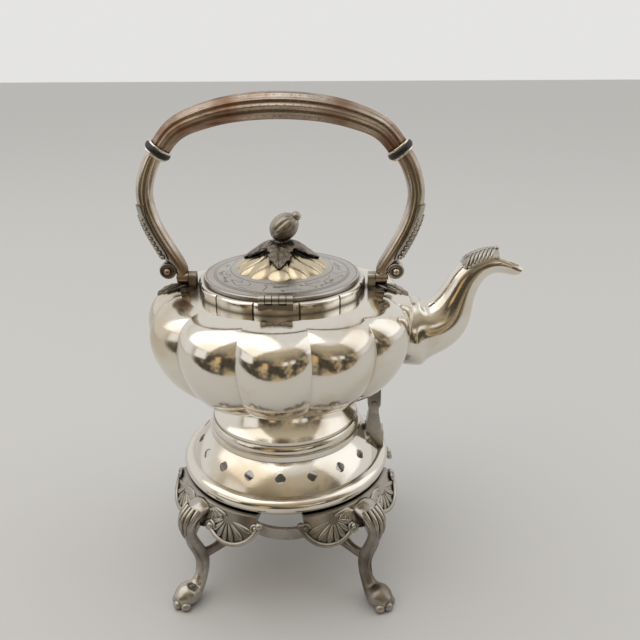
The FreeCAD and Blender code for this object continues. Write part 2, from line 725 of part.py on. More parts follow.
def spout_mouth():
    """The wedge cut away to open the lip upwards and forwards."""
    reach, low = float(size.spout_reach), float(BODY_FLOOR)
    corners = [(reach - 19.0, low + 110.0), (reach - 16.5, low + 101.5), (reach - 7.0, low + 98.2),
               (reach + 2.0, low + 95.6), (reach + 12.0, low + 95.6), (reach + 12.0, low + 110.0)]
    return prism(corners, 2 * float(size.spout_root))


def make_spout(form):
    """The hollow neck, seated on the lobe that it leaves."""
    outer = limb(spout_stations())
    bore = limb(spout_stations(), -float(size.spout_wall))
    neck = outer.cut(form).cut(spout_mouth())
    neck = max(neck.Solids, key=lambda solid: solid.Volume)
    cast("spout", max(neck.cut(bore).Solids, key=lambda solid: solid.Volume))
    leaf = limb(spout_stations(), float(size.leaf_wall)).cut(outer)
    reach, low = float(size.spout_reach), float(BODY_FLOOR)
    side = [(reach - 43.0, low + 97.0), (reach - 34.0, low + 99.0), (reach - 27.0, low + 101.4),
            (reach - 21.0, low + 105.0), (reach - 17.4, low + 104.5), (reach - 17.0, low + 118.0),
            (reach - 48.0, low + 118.0)]
    trimmed = leaf.common(prism(side, 2 * float(size.spout_root)))
    cast("spout_leaf", max(trimmed.Solids, key=lambda solid: solid.Volume))
    return bore


# The tilt hinge under the spout: a post on the dome, a forked lug on the body and a pin
def rectangle(x, width, depth, height):
    """A level rectangle centred on the XZ plane."""
    signs = ((-1, -1), (1, -1), (1, 1), (-1, 1), (-1, -1))
    return Part.makePolygon([Vector(x + sx * width / 2, sy * depth / 2, height) for sx, sy in signs])


def make_tilt_hinge(dome, form):
    x, z = float(size.tilt_radius), float(size.tilt_height)
    eye, half = float(size.tilt_eye), float(size.tilt_eye_half)
    ear, gap = float(size.tilt_ear), float(size.side_gap)
    axis = Vector(0, 1, 0)

    def barrel(radius, low, high):
        return Part.makeCylinder(radius, high - low, Vector(x, low, z), axis)

    foot, depth, low = float(size.post_foot), float(size.post_depth), float(DOME_FOOT)
    moulding = low + float(size.post_moulding)
    sections = [
        (low, foot * 1.1, depth * 1.1), (moulding, foot * 1.1, depth * 1.1),
        (moulding + 1.5, foot * 0.86, depth * 0.86), (z - 2 * eye, eye * 1.6, half * 2),
        (z, eye * 1.5, half * 2),
    ]
    shaft = Part.makeLoft([rectangle(x, width, deep, height) for height, width, deep in sections], True, True)
    hole = barrel(float(size.tilt_pin_radius + size.running_gap), -2 * half, 2 * half)
    post = shaft.fuse(barrel(eye, -half, half)).cut(hole).cut(dome.Shape)
    cast("tilt_post", max(post.Solids, key=lambda solid: solid.BoundBox.ZMax).removeSplitter())

    inner, outer = half + gap, half + gap + ear
    bridge = z + eye + 3 * gap
    fork = Part.makeBox(eye * 2, outer * 2, float(BODY_WIDEST) - bridge, Vector(x - eye, -outer, bridge))
    for start in (-outer, inner):
        fork = fork.fuse(barrel(eye, start, start + ear))
        fork = fork.fuse(Part.makeBox(eye * 2, ear, bridge - z, Vector(x - eye, start, z)))
    lug = fork.cut(barrel(float(size.tilt_pin_radius), -2 * outer, 2 * outer)).cut(form)
    cast("tilt_lug", min(lug.Solids, key=lambda solid: solid.BoundBox.ZMin).removeSplitter())
    reach = (size.tilt_eye_half + size.side_gap + size.tilt_ear) * 2 + 1.6
    pin = rod("tilt_pin", size.tilt_pin_radius, reach, (size.tilt_radius, 0.0, size.tilt_height), axis)
    keep(pin, "tilt_pin")


# The lid with its bezel, hinge and finial
LID_TOP = LID_BORDER + size.lid_dome
LID_FLAT = size.lid_radius - size.lid_border
LID_SWEEP = (LID_FLAT * LID_FLAT + size.lid_dome * size.lid_dome) / (size.lid_dome * 2)


def make_lid():
    """The spun lid: a rounded rim, a flat border and a low dome with a hole for the finial's stud."""
    wall, rounding = size.sheet_wall, 1.2
    bore, reach, sweep = float(size.stud_radius), float(LID_FLAT), float(LID_SWEEP)
    dip = sweep - math.sqrt(sweep ** 2 - bore ** 2)
    corners = [
        (size.stud_radius, LID_TOP - wall - dip, LID_SWEEP, 1),
        (LID_FLAT, LID_BORDER - wall),
        (size.lid_radius - wall, LID_BORDER - wall),
        (size.lid_radius - wall, LID_RIM),
        (size.lid_radius, LID_RIM),
        (size.lid_radius, LID_BORDER - rounding, rounding, -1),
        (size.lid_radius - rounding, LID_BORDER),
        (LID_FLAT, LID_BORDER, LID_SWEEP, -1),
        (size.stud_radius, LID_TOP - dip),
    ]
    return keep(turned("lid", corners), "lid")


def make_bezel():
    outer = size.mouth_bore - size.bezel_gap
    inner = outer - size.sheet_wall
    low, high = LID_RIM - size.bezel_drop, LID_BORDER - size.sheet_wall
    return keep(turned("lid_bezel", [(inner, low), (outer, low), (outer, high), (inner, high)]), "lid_bezel")


def make_lid_hinge():
    """Five knuckles on a pin: three stand on the mouth border, two belong to the lid."""
    length, barrel, plate = float(size.hinge_length), float(size.hinge_barrel), float(size.hinge_plate)
    gap, y, z = float(size.side_gap), -float(size.hinge_offset), float(HINGE_HEIGHT)
    border, low = float(size.border_radius), float(BODY_TOP)
    knuckle = (length - 4 * gap) / 5
    starts = [-length / 2 + k * (knuckle + gap) for k in range(5)]
    along = Vector(1, 0, 0)

    def turn(radius, start, width):
        return Part.makeCylinder(radius, width, Vector(start, y, z), along)

    plate_low, plate_high = low + 4.6, z - barrel - gap
    plate_corner = Vector(-length / 2, -border - plate, plate_low)
    body_leaf = Part.makeBox(length, plate, plate_high - plate_low, plate_corner)
    scoop = length * 1.2
    hollow = Vector(0, -border - 2 * plate, plate_low + 1.4 - scoop)
    body_leaf = body_leaf.cut(Part.makeCylinder(scoop, 4 * plate, hollow, Vector(0, 1, 0)))
    lid_edge = y + barrel + gap
    lid_corner = Vector(-length / 2, lid_edge, float(LID_BORDER))
    lid_leaf = Part.makeBox(length, float(size.lid_border), plate, lid_corner)
    for k, start in enumerate(starts):
        if k % 2 == 0:
            web_corner = Vector(start, -border - plate, plate_high - 1.0)
            web = Part.makeBox(knuckle, plate, z - plate_high + 1.0, web_corner)
            body_leaf = body_leaf.fuse(turn(barrel, start, knuckle)).fuse(web)
        else:
            web = Part.makeBox(knuckle, barrel + 2 * gap, plate, Vector(start, y, float(LID_BORDER)))
            lid_leaf = lid_leaf.fuse(turn(barrel, start, knuckle)).fuse(web)
    pin_radius = float(size.hinge_pin_radius)
    body_leaf = body_leaf.cut(turn(pin_radius, -length, 2 * length))
    lid_leaf = lid_leaf.cut(turn(pin_radius + float(size.running_gap), -length, 2 * length))
    cast("hinge_leaf_kettle", body_leaf.removeSplitter())
    cast("hinge_leaf_lid", lid_leaf.removeSplitter())
    pin = rod("lid_hinge_pin", size.hinge_pin_radius, size.hinge_length + 1.0,
              (0.0, size.hinge_offset * -1.0, HINGE_HEIGHT), along)
    keep(pin, "lid_hinge_pin")


def petal_form():
    """A low cone of rounded petals over the lid's dome."""
    low, rise = float(LID_BORDER), float(size.petal_rise)
    foot, top = float(size.petal_radius), float(size.petal_top)
    count = int(float(size.petal_count))
    rings = []
    for share, radius in ((0.06, foot), (0.36, foot * 0.89), (0.68, foot * 0.6), (1.0, top)):
        rings.append(rosette(radius, radius * 0.91, count, level(low + rise * share)))
    return lobed(rings)


def leaf_form(hub_height):
    """Four drooping leaves and the hub that they spring from."""
    reach = float(size.leaf_reach)
    blade = float(size.leaf_wall)
    stations = [
        (reach * 0.05, hub_height, blade, reach * 0.12),
        (reach * 0.28, hub_height + 0.8, blade, reach * 0.25),
        (reach * 0.55, hub_height - 2.4, blade, reach * 0.29),
        (reach * 0.78, hub_height - 7.4, blade * 0.9, reach * 0.17),
        (reach * 0.90, hub_height - 11.0, blade * 0.7, reach * 0.04),
    ]
    leaf = limb(stations)
    hub = Part.makeSphere(reach * 0.22, Vector(0, 0, hub_height))
    return hub.multiFuse([turned_about_axis(leaf, angle) for angle in (0, 90, 180, 270)])


def bud_form():
    """A ribbed melon bud leaning towards the spout, with a ball at its tip."""
    half, length = float(size.bud_half), float(size.bud_length)
    lean = math.radians(float(size.bud_lean))
    axis = Vector(math.sin(lean), 0, math.cos(lean))
    middle = Vector(half * 0.25, 0, float(size.bud_height))
    rings = []
    for share in (-0.97, -0.75, -0.35, 0.0, 0.35, 0.75, 0.97):
        radius = half * math.sqrt(1 - share ** 2)
        frame = Placement(middle + axis * (length * share), Rotation(Vector(0, 0, 1), axis))
        rings.append(rosette(radius, radius * 0.93, 8, frame))
    tip = Part.makeSphere(half * 0.38, middle + axis * (length * 1.02))
    return lobed(rings).fuse(tip)


def make_finial():
    """Petals, leaves and bud, stacked on a stud that a nut holds under the lid."""
    dome = Part.makeSphere(float(LID_SWEEP), Vector(0, 0, float(LID_TOP - LID_SWEEP)))
    hub_height = float(LID_BORDER + size.petal_rise + size.leaf_lift)
    stud_low = LID_TOP - size.sheet_wall - 6.0
    stud_length = Dim.of(hub_height) - stud_low
    stud_middle = (0.0, 0.0, stud_low + stud_length / 2)
    stud = rod("finial_stud", size.stud_radius, stud_length, stud_middle, Vector(0, 0, 1))
    keep(stud, "finial_stud")
    doc.recompute()
    petals = petal_form()
    bud = bud_form()
    leaves = leaf_form(hub_height).cut(petals).cut(bud).cut(stud.Shape)
    cast("finial_petals", petals.cut(dome).cut(stud.Shape))
    cast("finial_leaves", max(leaves.Solids, key=lambda solid: solid.Volume))
    cast("finial_bud", bud)
    seat = LID_TOP - size.sheet_wall - 0.15
    keep(turned("finial_nut", [
        (size.stud_radius, seat - 3.5), (size.stud_radius * 2.6, seat - 3.5),
        (size.stud_radius * 2.6, seat), (size.stud_radius, seat),
    ]), "finial_nut")


# The handle: two arms on pivots, insulators between silver collars, and a reeded grip
EYE_START = size.lug_inner + size.lug_width + size.side_gap
EYE_MIDDLE = EYE_START + size.eye_width / 2
lean = math.radians(float(size.joint_lean))
JOINT = Vector(float(size.joint_reach), 0, float(size.joint_height))
ALONG = Vector(math.cos(lean), 0, -math.sin(lean))
JOINT_HALF = size.insulator_width / 2 + size.ferrule_width


def arm_stations():
    """The right arm from its collar down to its eye."""
    reach, widest, thick = float(size.arm_reach), float(size.arm_widest), float(size.arm_radius)
    start = JOINT + ALONG * float(JOINT_HALF)
    second = start + ALONG * 4.5
    foot, pivot = float(EYE_MIDDLE), float(size.swing_height)
    rows = [
        (start.x, start.z, 1.03), (second.x, second.z, 1.03), (reach - 2.4, widest + 13.0, 1.02),
        (reach, widest, 1.0), (reach - 1.2, widest - 11.0, 1.0), (reach - 4.5, widest - 22.0, 1.0),
        (reach - 9.6, widest - 33.0, 1.0), (reach - 15.4, widest - 43.5, 0.98),
        (foot + 2.4, pivot + 9.5, 0.9), (foot, pivot + 3.0, 0.7),
    ]
    return [(x, z, thick * share, thick * share) for x, z, share in rows]


def socket(sign):
    """The round hole that takes an insulator's tenon, towards the arm (+1) or the grip (-1)."""
    start = JOINT + ALONG * (sign * float(JOINT_HALF))
    return Part.makeCylinder(float(size.tenon_radius), float(size.tenon_length), start, ALONG * sign)


def make_arms():
    """Arms with a volute and an eye at the foot, and a leaf on the outer side of each."""
    pivot, radius = float(size.swing_height), float(size.swing_eye)
    along = Vector(1, 0, 0)
    start = Vector(float(EYE_START), 0, pivot)
    eye = Part.makeCylinder(radius, float(size.eye_width), start, along)
    scroll = float(size.volute_radius)
    centre = Vector(float(EYE_MIDDLE) + radius + scroll * 0.95, 0, pivot + scroll * 0.95)
    half = float(size.arm_radius) * 0.85
    volute = Part.makeCylinder(scroll, 2 * half, centre - Vector(0, half, 0), Vector(0, 1, 0))
    volute = volute.makeFillet(half * 0.3, [e for e in volute.Edges if e.Closed and e.Length > scroll])
    boss = Part.makeSphere(scroll * 0.45, centre - Vector(0, half, 0))
    boss = boss.fuse(Part.makeSphere(scroll * 0.45, centre + Vector(0, half, 0)))
    hole_radius = float(size.swing_pin_radius + size.running_gap)
    hole = Part.makeCylinder(hole_radius, 2 * float(size.eye_width), start - along * radius, along)
    shaft = limb(arm_stations())
    arm = shaft.multiFuse([eye, volute, boss]).cut(hole).cut(socket(1))
    x, z = float(size.arm_reach), float(size.arm_widest)
    region = [(x - 0.2, z - 7.0), (x - 1.5, z - 17.0), (x - 6.0, z - 29.0), (x - 12.5, z - 41.0),
              (x - 14.5, z - 48.0), (x - 2.0, z - 48.0), (x + 12.0, z - 29.0), (x + 12.0, z - 7.0)]
    leaf = limb(arm_stations(), float(size.leaf_wall)).cut(shaft).cut(arm)
    leaf = leaf.common(prism(region, 4 * float(size.arm_radius)))
    leaf = max(leaf.Solids, key=lambda solid: solid.Volume)
    cast("handle_arm_right", arm)
    cast("handle_arm_left", mirrored(arm))
    cast("arm_leaf_right", leaf)
    cast("arm_leaf_left", mirrored(leaf))


def lay_along_handle(body, side, offset):
    """Lays a turned piece along the handle at a joint; offset is its start along the line."""
    place = JOINT + ALONG * float(offset)
    turn = Rotation(Vector(0, 0, 1), Vector(ALONG.x * side, 0, ALONG.z))
    body.Placement = Placement(Vector(place.x * side, 0, place.z), turn)


def make_insulators():
    """Insulating discs with tenons, each between two silver collars."""
    width, thick = size.insulator_width, size.ferrule_width
    tenon = size.tenon_length + size.ferrule_width
    for side, word in ((1, "right"), (-1, "left")):
        disc = turned(f"insulator_{word}", [
            (0.0, 0.0), (size.tenon_radius, 0.0), (size.tenon_radius, tenon),
            (size.insulator_radius - 0.8, tenon, 3.0, -1), (size.insulator_radius - 0.8, tenon + width),
            (size.tenon_radius, tenon + width), (size.tenon_radius, tenon * 2 + width),
            (0.0, tenon * 2 + width),
        ])
        lay_along_handle(disc, side, (tenon + width / 2) * -1.0)
        keep(disc, f"insulator_{word}")
        for name, offset in (("upper", JOINT_HALF * -1.0), ("lower", width / 2)):
            ring = turned(f"collar_{name}_{word}", [
                (size.tenon_radius, 0.0), (size.ferrule_radius - 0.4, 0.0, 1.1, -1),
                (size.ferrule_radius - 0.4, thick), (size.tenon_radius, thick),
            ])
            lay_along_handle(ring, side, offset)
            keep(ring, f"collar_{name}_{word}")


def make_grip():
    """The reeded grip, swelling from its ends to its middle along a flattened bow."""
    start = JOINT - ALONG * float(JOINT_HALF)
    second = start - ALONG * 5.0
    top, reach, bow = float(size.grip_top), float(size.grip_reach), float(size.grip_bow)
    half = []
    for turn in (56, 44, 30, 15):
        angle = math.radians(turn)
        half.append(Vector(reach * math.sin(angle), 0, top - bow * (1 - math.cos(angle))))
    right = [start, second] + half
    left = [Vector(-p.x, 0, p.z) for p in right]
    places = left + [Vector(0, 0, top)] + right[::-1]
    count, depth = int(float(size.reed_count)), float(size.reed_depth)
    middle, end = float(size.grip_half), float(size.grip_end)
    rings = []
    for frame in section_frames(places):
        share = abs(frame.Base.x) / start.x
        crest = middle + (end - middle) * share ** 2
        rings.append(reeded(frame, crest, crest * (1 - depth), count))
    bar = Part.makeLoft(rings, True, False)
    cast("handle_grip", bar.cut(socket(-1)).cut(mirrored(socket(-1))))


def make_mounts(form):
    """Leaf mounts on the shoulder, each with a lug for the handle's pivot, and the pivots."""
    inner, width = float(size.lug_inner), float(size.lug_width)
    pivot, radius, low = float(size.swing_height), float(size.swing_eye), float(BODY_TOP)
    along = Vector(1, 0, 0)
    lug = Part.makeCylinder(radius, width, Vector(inner, 0, pivot), along)
    lug = lug.fuse(Part.makeBox(width, 2 * radius, pivot - low, Vector(inner, -radius, low)))
    wall = float(size.leaf_wall)
    tip = float(size.body_radius) * 0.93
    run = tip - inner
    half_outline = [(0.0, 6.5), (0.22, 9.5), (0.42, 6.0), (0.68, 9.0), (0.8, 5.0), (1.0, 0.0)]
    outline = [(inner + run * share, -across) for share, across in half_outline]
    outline += [(inner + run * share, across) for share, across in reversed(half_outline[:-1])]
    wire = Part.makePolygon([Vector(x, y, float(BODY_WIDEST)) for x, y in outline + outline[:1]])
    column = Part.Face(wire).extrude(Vector(0, 0, 2 * float(size.body_high)))
    plate = body_form(-wall).cut(form).common(column)
    hole = Part.makeCylinder(float(size.swing_pin_radius), 4 * width, Vector(inner - width, 0, pivot), along)
    mount = plate.fuse(lug.cut(form)).cut(hole).removeSplitter()
    cast("handle_mount_right", mount)
    cast("handle_mount_left", mirrored(mount))
    length = size.lug_width + size.side_gap + size.eye_width + 0.8
    for sign, word in ((1.0, "right"), (-1.0, "left")):
        centre = (size.lug_inner + length / 2) * sign
        place = (centre, 0.0, size.swing_height)
        pin = rod(f"handle_pivot_{word}", size.swing_pin_radius, length, place, along)
        keep(pin, f"handle_pivot_{word}")


def build():
    """Makes every piece of the kettle and its stand, from the table upwards."""
    rim = make_rim()
    dome = make_dome()
    make_collar()
    doc.recompute()
    legs = make_legs(rim)
    make_burner(legs)
    form = body_form()
    make_kettle_foot()
    spout_bore = make_spout(form)
    make_body(form, spout_bore)
    make_border()
    make_tilt_hinge(dome, form)
    make_lid()
    make_bezel()
    make_lid_hinge()
    make_finial()
    make_mounts(form)
    make_arms()
    make_insulators()
    make_grip()
    doc.recompute()


def write():
    """Stops if any object failed, then writes each piece to its own file."""
    for thing in doc.Objects:
        if {"Invalid", "Error"} & set(thing.State):
            raise RuntimeError(f"{thing.Label} failed: {thing.State}")
    for piece in named_pieces:
        shape = piece.Shape
        if shape.isNull() or not shape.isValid() or len(shape.Solids) != 1:
            raise RuntimeError(f"{piece.Label} is not one valid solid")
    os.makedirs("parts", exist_ok=True)
    for piece in named_pieces:
        piece.Shape.exportStep(f"parts/{piece.Label}.step")
    print(f"{len(named_pieces)} pieces written")


build()
write()
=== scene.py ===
"""Silver spirit kettle on its stand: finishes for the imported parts, and the cast ornament laid over them."""
import logging
import math
from dataclasses import dataclass, field
from enum import Enum
from typing import Any

import bmesh
import bpy
from mathutils import Matrix, Vector


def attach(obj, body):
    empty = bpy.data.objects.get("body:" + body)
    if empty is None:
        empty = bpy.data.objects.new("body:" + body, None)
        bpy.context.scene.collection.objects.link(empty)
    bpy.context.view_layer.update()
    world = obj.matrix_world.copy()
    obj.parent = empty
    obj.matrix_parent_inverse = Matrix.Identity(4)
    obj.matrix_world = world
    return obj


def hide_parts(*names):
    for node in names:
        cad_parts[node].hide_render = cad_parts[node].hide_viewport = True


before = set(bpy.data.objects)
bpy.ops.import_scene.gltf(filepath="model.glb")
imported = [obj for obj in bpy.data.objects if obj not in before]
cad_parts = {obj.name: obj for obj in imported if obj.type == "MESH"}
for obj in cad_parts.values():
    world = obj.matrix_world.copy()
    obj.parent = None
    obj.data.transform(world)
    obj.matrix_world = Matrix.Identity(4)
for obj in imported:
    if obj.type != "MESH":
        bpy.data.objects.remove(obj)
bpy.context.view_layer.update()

MM = 0.001
Colour = tuple[float, float, float, float]
Pairs = tuple[tuple[float, float], ...]
Triple = tuple[float, float, float]
Spots = tuple[Triple, ...]
SIDES = (-1.0, 1.0)
log = logging.getLogger("kettle")


class Engraving(Enum):
    """What is cut into a surface besides its general wear."""

    NONE = "none"
    LID_BANDS = "lid bands"
    REEDS = "reeds"
    VEINS = "veins"


class Wire:
    """A shader value on which ordinary arithmetic adds Math nodes."""

    def __init__(self, graph: "Graph", socket: bpy.types.NodeSocket) -> None:
        """Keeps the graph and the socket that gives the value."""
        self.graph = graph
        self.socket = socket

    def worked(self, operation: str, first: Any, second: Any = 0.0) -> "Wire":
        """One Math node on two values."""
        return self.graph.node("ShaderNodeMath", {"operation": operation}, {0: first, 1: second})

    def __add__(self, other: Any) -> "Wire":
        """Sum."""
        return self.worked("ADD", self, other)

    def __sub__(self, other: Any) -> "Wire":
        """Difference."""
        return self.worked("SUBTRACT", self, other)

    def __rsub__(self, other: Any) -> "Wire":
        """Difference from a number."""
        return self.worked("SUBTRACT", other, self)

    def __mul__(self, other: Any) -> "Wire":
        """Product."""
        return self.worked("MULTIPLY", self, other)

    def __truediv__(self, other: Any) -> "Wire":
        """Quotient."""
        return self.worked("DIVIDE", self, other)

    def __abs__(self) -> "Wire":
        """Size without sign."""
        return self.worked("ABSOLUTE", self)

    __radd__ = __add__
    __rmul__ = __mul__

    def stepped(self, low: float, high: float) -> "Wire":
        """A smooth step from 0 at low to 1 at high.

        Args:
            low: value that gives 0.
            high: value that gives 1.

        Returns:
            The stepped value.
        """
        settings = {"interpolation_type": "SMOOTHSTEP"}
        return self.graph.node("ShaderNodeMapRange", settings, {0: self, 1: low, 2: high, 3: 0.0, 4: 1.0})


class Graph:
    """A material's or world's node tree, written to by one general method."""

    def __init__(self, tree: bpy.types.NodeTree) -> None:
        """Starts from an empty tree."""
        self.tree = tree
        tree.nodes.clear()

    def node(self, kind: str, settings: dict[str, Any] | None = None,
             inputs: dict[Any, Any] | None = None, output: int | str = 0) -> Wire:
        """Adds a node.

        Args:
            kind: the node's type.
            settings: properties, set before the sockets.
            inputs: values or wires by socket index or name.
            output: the socket that is returned.

        Returns:
            The chosen output.
        """
        made = self.tree.nodes.new(kind)
        for name, value in (settings or {}).items():
            setattr(made, name, value)
        for key, value in (inputs or {}).items():
            if isinstance(value, Wire):
                self.tree.links.new(value.socket, made.inputs[key])
            else:
                made.inputs[key].default_value = value
        return Wire(self, made.outputs[output]) if made.outputs else Wire(self, made.inputs[0])

    def place(self) -> Wire:
        """Object coordinates, in metres."""
        return self.node("ShaderNodeTexCoord", output="Object")

    def noise(self, place: Wire, scale: float, detail: float = 3.0) -> Wire:
        """A noise value over a place."""
        return self.node("ShaderNodeTexNoise", {}, {"Vector": place, "Scale": scale, "Detail": detail})

    def stretched(self, place: Wire, scale: tuple[float, float, float]) -> Wire:
        """A place stretched by three shares."""
        return self.node("ShaderNodeMapping", {"vector_type": "POINT"}, {"Vector": place, "Scale": scale})

    def mixed(self, share: Wire, first: Any, second: Any) -> Wire:
        """A colour between two others."""
        inputs = {0: share, 6: first, 7: second}
        return self.node("ShaderNodeMix", {"data_type": "RGBA"}, inputs, 2)

    def bumped(self, height: Wire, strength: float, depth: float) -> Wire:
        """A normal bent by a height, with the depth in millimetres."""
        inputs = {"Strength": strength, "Distance": depth * MM, "Height": height}
        return self.node("ShaderNodeBump", {}, inputs, "Normal")

    def surfaced(self, inputs: dict[str, Any]) -> None:
        """Ends a material's tree with a principled shader."""
        shader = self.node("ShaderNodeBsdfPrincipled", {}, inputs)
        self.node("ShaderNodeOutputMaterial", {}, {"Surface": shader})


def blank_material(name: str) -> tuple[bpy.types.Material, Graph]:
    """Makes a material with an empty node tree.

    Args:
        name: the material's name.

    Returns:
        The material and its tree.
    """
    made = bpy.data.materials.new(name)
    made.use_nodes = True
    return made, Graph(made.node_tree)


LID_RINGS = (56.6, 50.9, 49.6, 38.5)
LID_BAND_START = (39.5, 40.5)
LID_BAND_END = (47.5, 48.8)
LID_LINE_EDGES = (0.15, 0.55)
CURL_ROUND = 3.4
CURL_OUT = 165.0
CURL_EDGES = (0.012, 0.035)
CLOUD_SCALE = 17.0
PATCH_EDGES = (0.62, 0.86)
PATCH_SHIFT = 0.22
STAIN_SCALE = 48.0
STAIN_EDGES = (0.56, 0.72)
STAIN_SHARE = 0.45
# Painted shade in recesses: reach of the ambient occlusion in mm, and its edges.
RECESS_REACH = 6.0
RECESS_EDGES = (0.25, 0.95)
POLISH_SCALE = 60.0
POLISH_SHARE = 0.10
PATCH_ROUGHNESS = 0.16
RECESS_ROUGHNESS = 0.3
SCRATCH_SCALE = 900.0
SCRATCH_SHARE = 0.35
CLOUD_SHARE = 0.65
ENGRAVED_DARK = 0.55
ENGRAVED_DEPTH = 1.6
REED_STRETCH = (14.0, 240.0, 240.0)
REED_EDGES = (0.52, 0.75)
VEIN_STRETCH = (420.0, 420.0, 160.0)
VEIN_EDGES = (0.5, 0.7)


@dataclass(frozen=True)
class SilverFinish:
    """Silver plate: polish, tarnish in patches, painted shade in recesses, and any engraving.

    Attributes:
        name: the material's name.
        bright: colour where it is clean.
        tarnish: colour where it is tarnished.
        spread: share of the surface that is tarnished.
        polish: roughness where it is clean.
        recess_shade: how dark the painted shade in the recesses is.
        engraving: what is cut into it.
        dark: colour of the painted shade in recesses and of cut lines.
    """

    name: str
    bright: Colour
    tarnish: Colour
    spread: float
    polish: float
    recess_shade: float
    engraving: Engraving = Engraving.NONE
    dark: Colour = (0.035, 0.028, 0.022, 1.0)

    def cut(self, graph: Graph, place: Wire) -> Wire | None:
        """The depth of the engraving, from 0 on the surface to 1 in a line.

        Args:
            graph: the material's tree.
            place: object coordinates.

        Returns:
            The depth, or None where nothing is engraved.
        """
        if self.engraving is Engraving.NONE:
            return None
        split = graph.node("ShaderNodeSeparateXYZ", {}, {0: place})
        x, y = split, Wire(graph, split.socket.node.outputs[1])
        if self.engraving is Engraving.LID_BANDS:
            radius = x.worked("SQRT", x * x + y * y)
            turn = x.worked("ARCTAN2", y, x)
            lines = None
            for ring in LID_RINGS:
                line = 1.0 - abs(radius - ring * MM).stepped(*(edge * MM for edge in LID_LINE_EDGES))
                lines = line if lines is None else x.worked("MAXIMUM", lines, line)
            curl = graph.node("ShaderNodeCombineXYZ", {}, {0: turn * CURL_ROUND, 1: radius * CURL_OUT})
            leafage = graph.noise(curl, 1.0, 1.0)
            stroke = 1.0 - abs(leafage - 0.5).stepped(*CURL_EDGES)
            begun = radius.stepped(*(edge * MM for edge in LID_BAND_START))
            ended = radius.stepped(*(edge * MM for edge in LID_BAND_END))
            return x.worked("MAXIMUM", lines, stroke * (begun * (1.0 - ended)))
        if self.engraving is Engraving.REEDS:
            streak = graph.noise(graph.stretched(place, REED_STRETCH), 1.0, 4.0)
            return streak.stepped(*REED_EDGES)
        rib = graph.noise(graph.stretched(place, VEIN_STRETCH), 1.0, 2.0)
        return rib.stepped(*VEIN_EDGES)

    def material(self) -> bpy.types.Material:
        """Makes the finish's material.

        Returns:
            The new material.
        """
        made, graph = blank_material(self.name)
        place = graph.place()
        cloud = graph.noise(place, CLOUD_SCALE, 5.0)
        onset = PATCH_SHIFT * self.spread
        patch = cloud.stepped(*(edge - onset for edge in PATCH_EDGES)) * self.spread
        # Painted shade: ambient occlusion pulls the colour towards the dark colour in recesses and between
        # parts.
        nook = graph.node("ShaderNodeAmbientOcclusion", {"samples": 8}, {"Distance": RECESS_REACH * MM}, "AO")
        recess_shade = (1.0 - nook.stepped(*RECESS_EDGES)) * self.recess_shade
        stain = graph.noise(place, STAIN_SCALE, 6.0).stepped(*STAIN_EDGES) * (STAIN_SHARE * self.spread)
        colour = graph.mixed(patch.worked("MAXIMUM", patch, stain), self.bright, self.tarnish)
        colour = graph.mixed(recess_shade, colour, self.dark)
        rough = self.polish + graph.noise(place, POLISH_SCALE, 4.0) * POLISH_SHARE
        rough = rough + patch * PATCH_ROUGHNESS + recess_shade * RECESS_ROUGHNESS
        wear = graph.noise(place, SCRATCH_SCALE, 2.0) * SCRATCH_SHARE + cloud * CLOUD_SHARE
        engraved = self.cut(graph, place)
        if engraved is not None:
            colour = graph.mixed(engraved * ENGRAVED_DARK, colour, self.dark)
            wear = wear - engraved * ENGRAVED_DEPTH
        bump = graph.bumped(wear, 0.18, 0.4)
        graph.surfaced({"Base Color": colour, "Metallic": 1.0, "Roughness": rough, "Normal": bump})
        return made


@dataclass(frozen=True)
class InsulatorFinish:
    """Dark turned insulator with faint turning lines and a dull wear."""

    name: str
    body: Colour
    worn: Colour

    def material(self) -> bpy.types.Material:
        """Makes the finish's material.

        Returns:
            The new material.
        """
        made, graph = blank_material(self.name)
        wear = graph.noise(graph.place(), 260.0, 4.0)
        colour = graph.mixed(wear.stepped(0.45, 0.8), self.body, self.worn)
        bump = graph.bumped(wear, 0.25, 0.2)
        graph.surfaced({"Base Color": colour, "Roughness": wear * 0.25 + 0.3, "Normal": bump})
        return made


BRIGHT = (0.80, 0.755, 0.68, 1.0)
WARM = (0.60, 0.47, 0.29, 1.0)
GREY = (0.50, 0.472, 0.43, 1.0)
POLISHED = SilverFinish("polished_silver", BRIGHT, WARM, 0.62, 0.07, 0.9)
ENGRAVED = SilverFinish("engraved_silver", GREY, (0.36, 0.29, 0.21, 1.0), 0.7, 0.20, 0.8, Engraving.LID_BANDS)
GILT = SilverFinish("petal_silver", (0.66, 0.565, 0.40, 1.0), (0.42, 0.31, 0.17, 1.0), 0.7, 0.13, 1.0)
ARM = SilverFinish("arm_silver", (0.63, 0.565, 0.49, 1.0), (0.29, 0.195, 0.13, 1.0), 0.85, 0.11, 0.8)
CAST = SilverFinish("cast_silver", (0.50, 0.465, 0.41, 1.0), (0.13, 0.10, 0.075, 1.0), 0.85, 0.17, 1.0)
LEAFY = SilverFinish("leaf_silver", (0.36, 0.315, 0.26, 1.0), (0.09, 0.068, 0.05, 1.0), 0.9, 0.17, 1.0,
                     Engraving.VEINS)
PLAIN = SilverFinish("plain_silver", (0.46, 0.43, 0.39, 1.0), (0.14, 0.11, 0.085, 1.0), 0.8, 0.2, 0.9)
GRIP = SilverFinish("grip_silver", (0.50, 0.43, 0.36, 1.0), (0.22, 0.115, 0.065, 1.0), 1.0, 0.17, 1.0,
                    Engraving.REEDS)
DARK = InsulatorFinish("insulator_black", (0.012, 0.011, 0.010, 1.0), (0.05, 0.045, 0.04, 1.0))


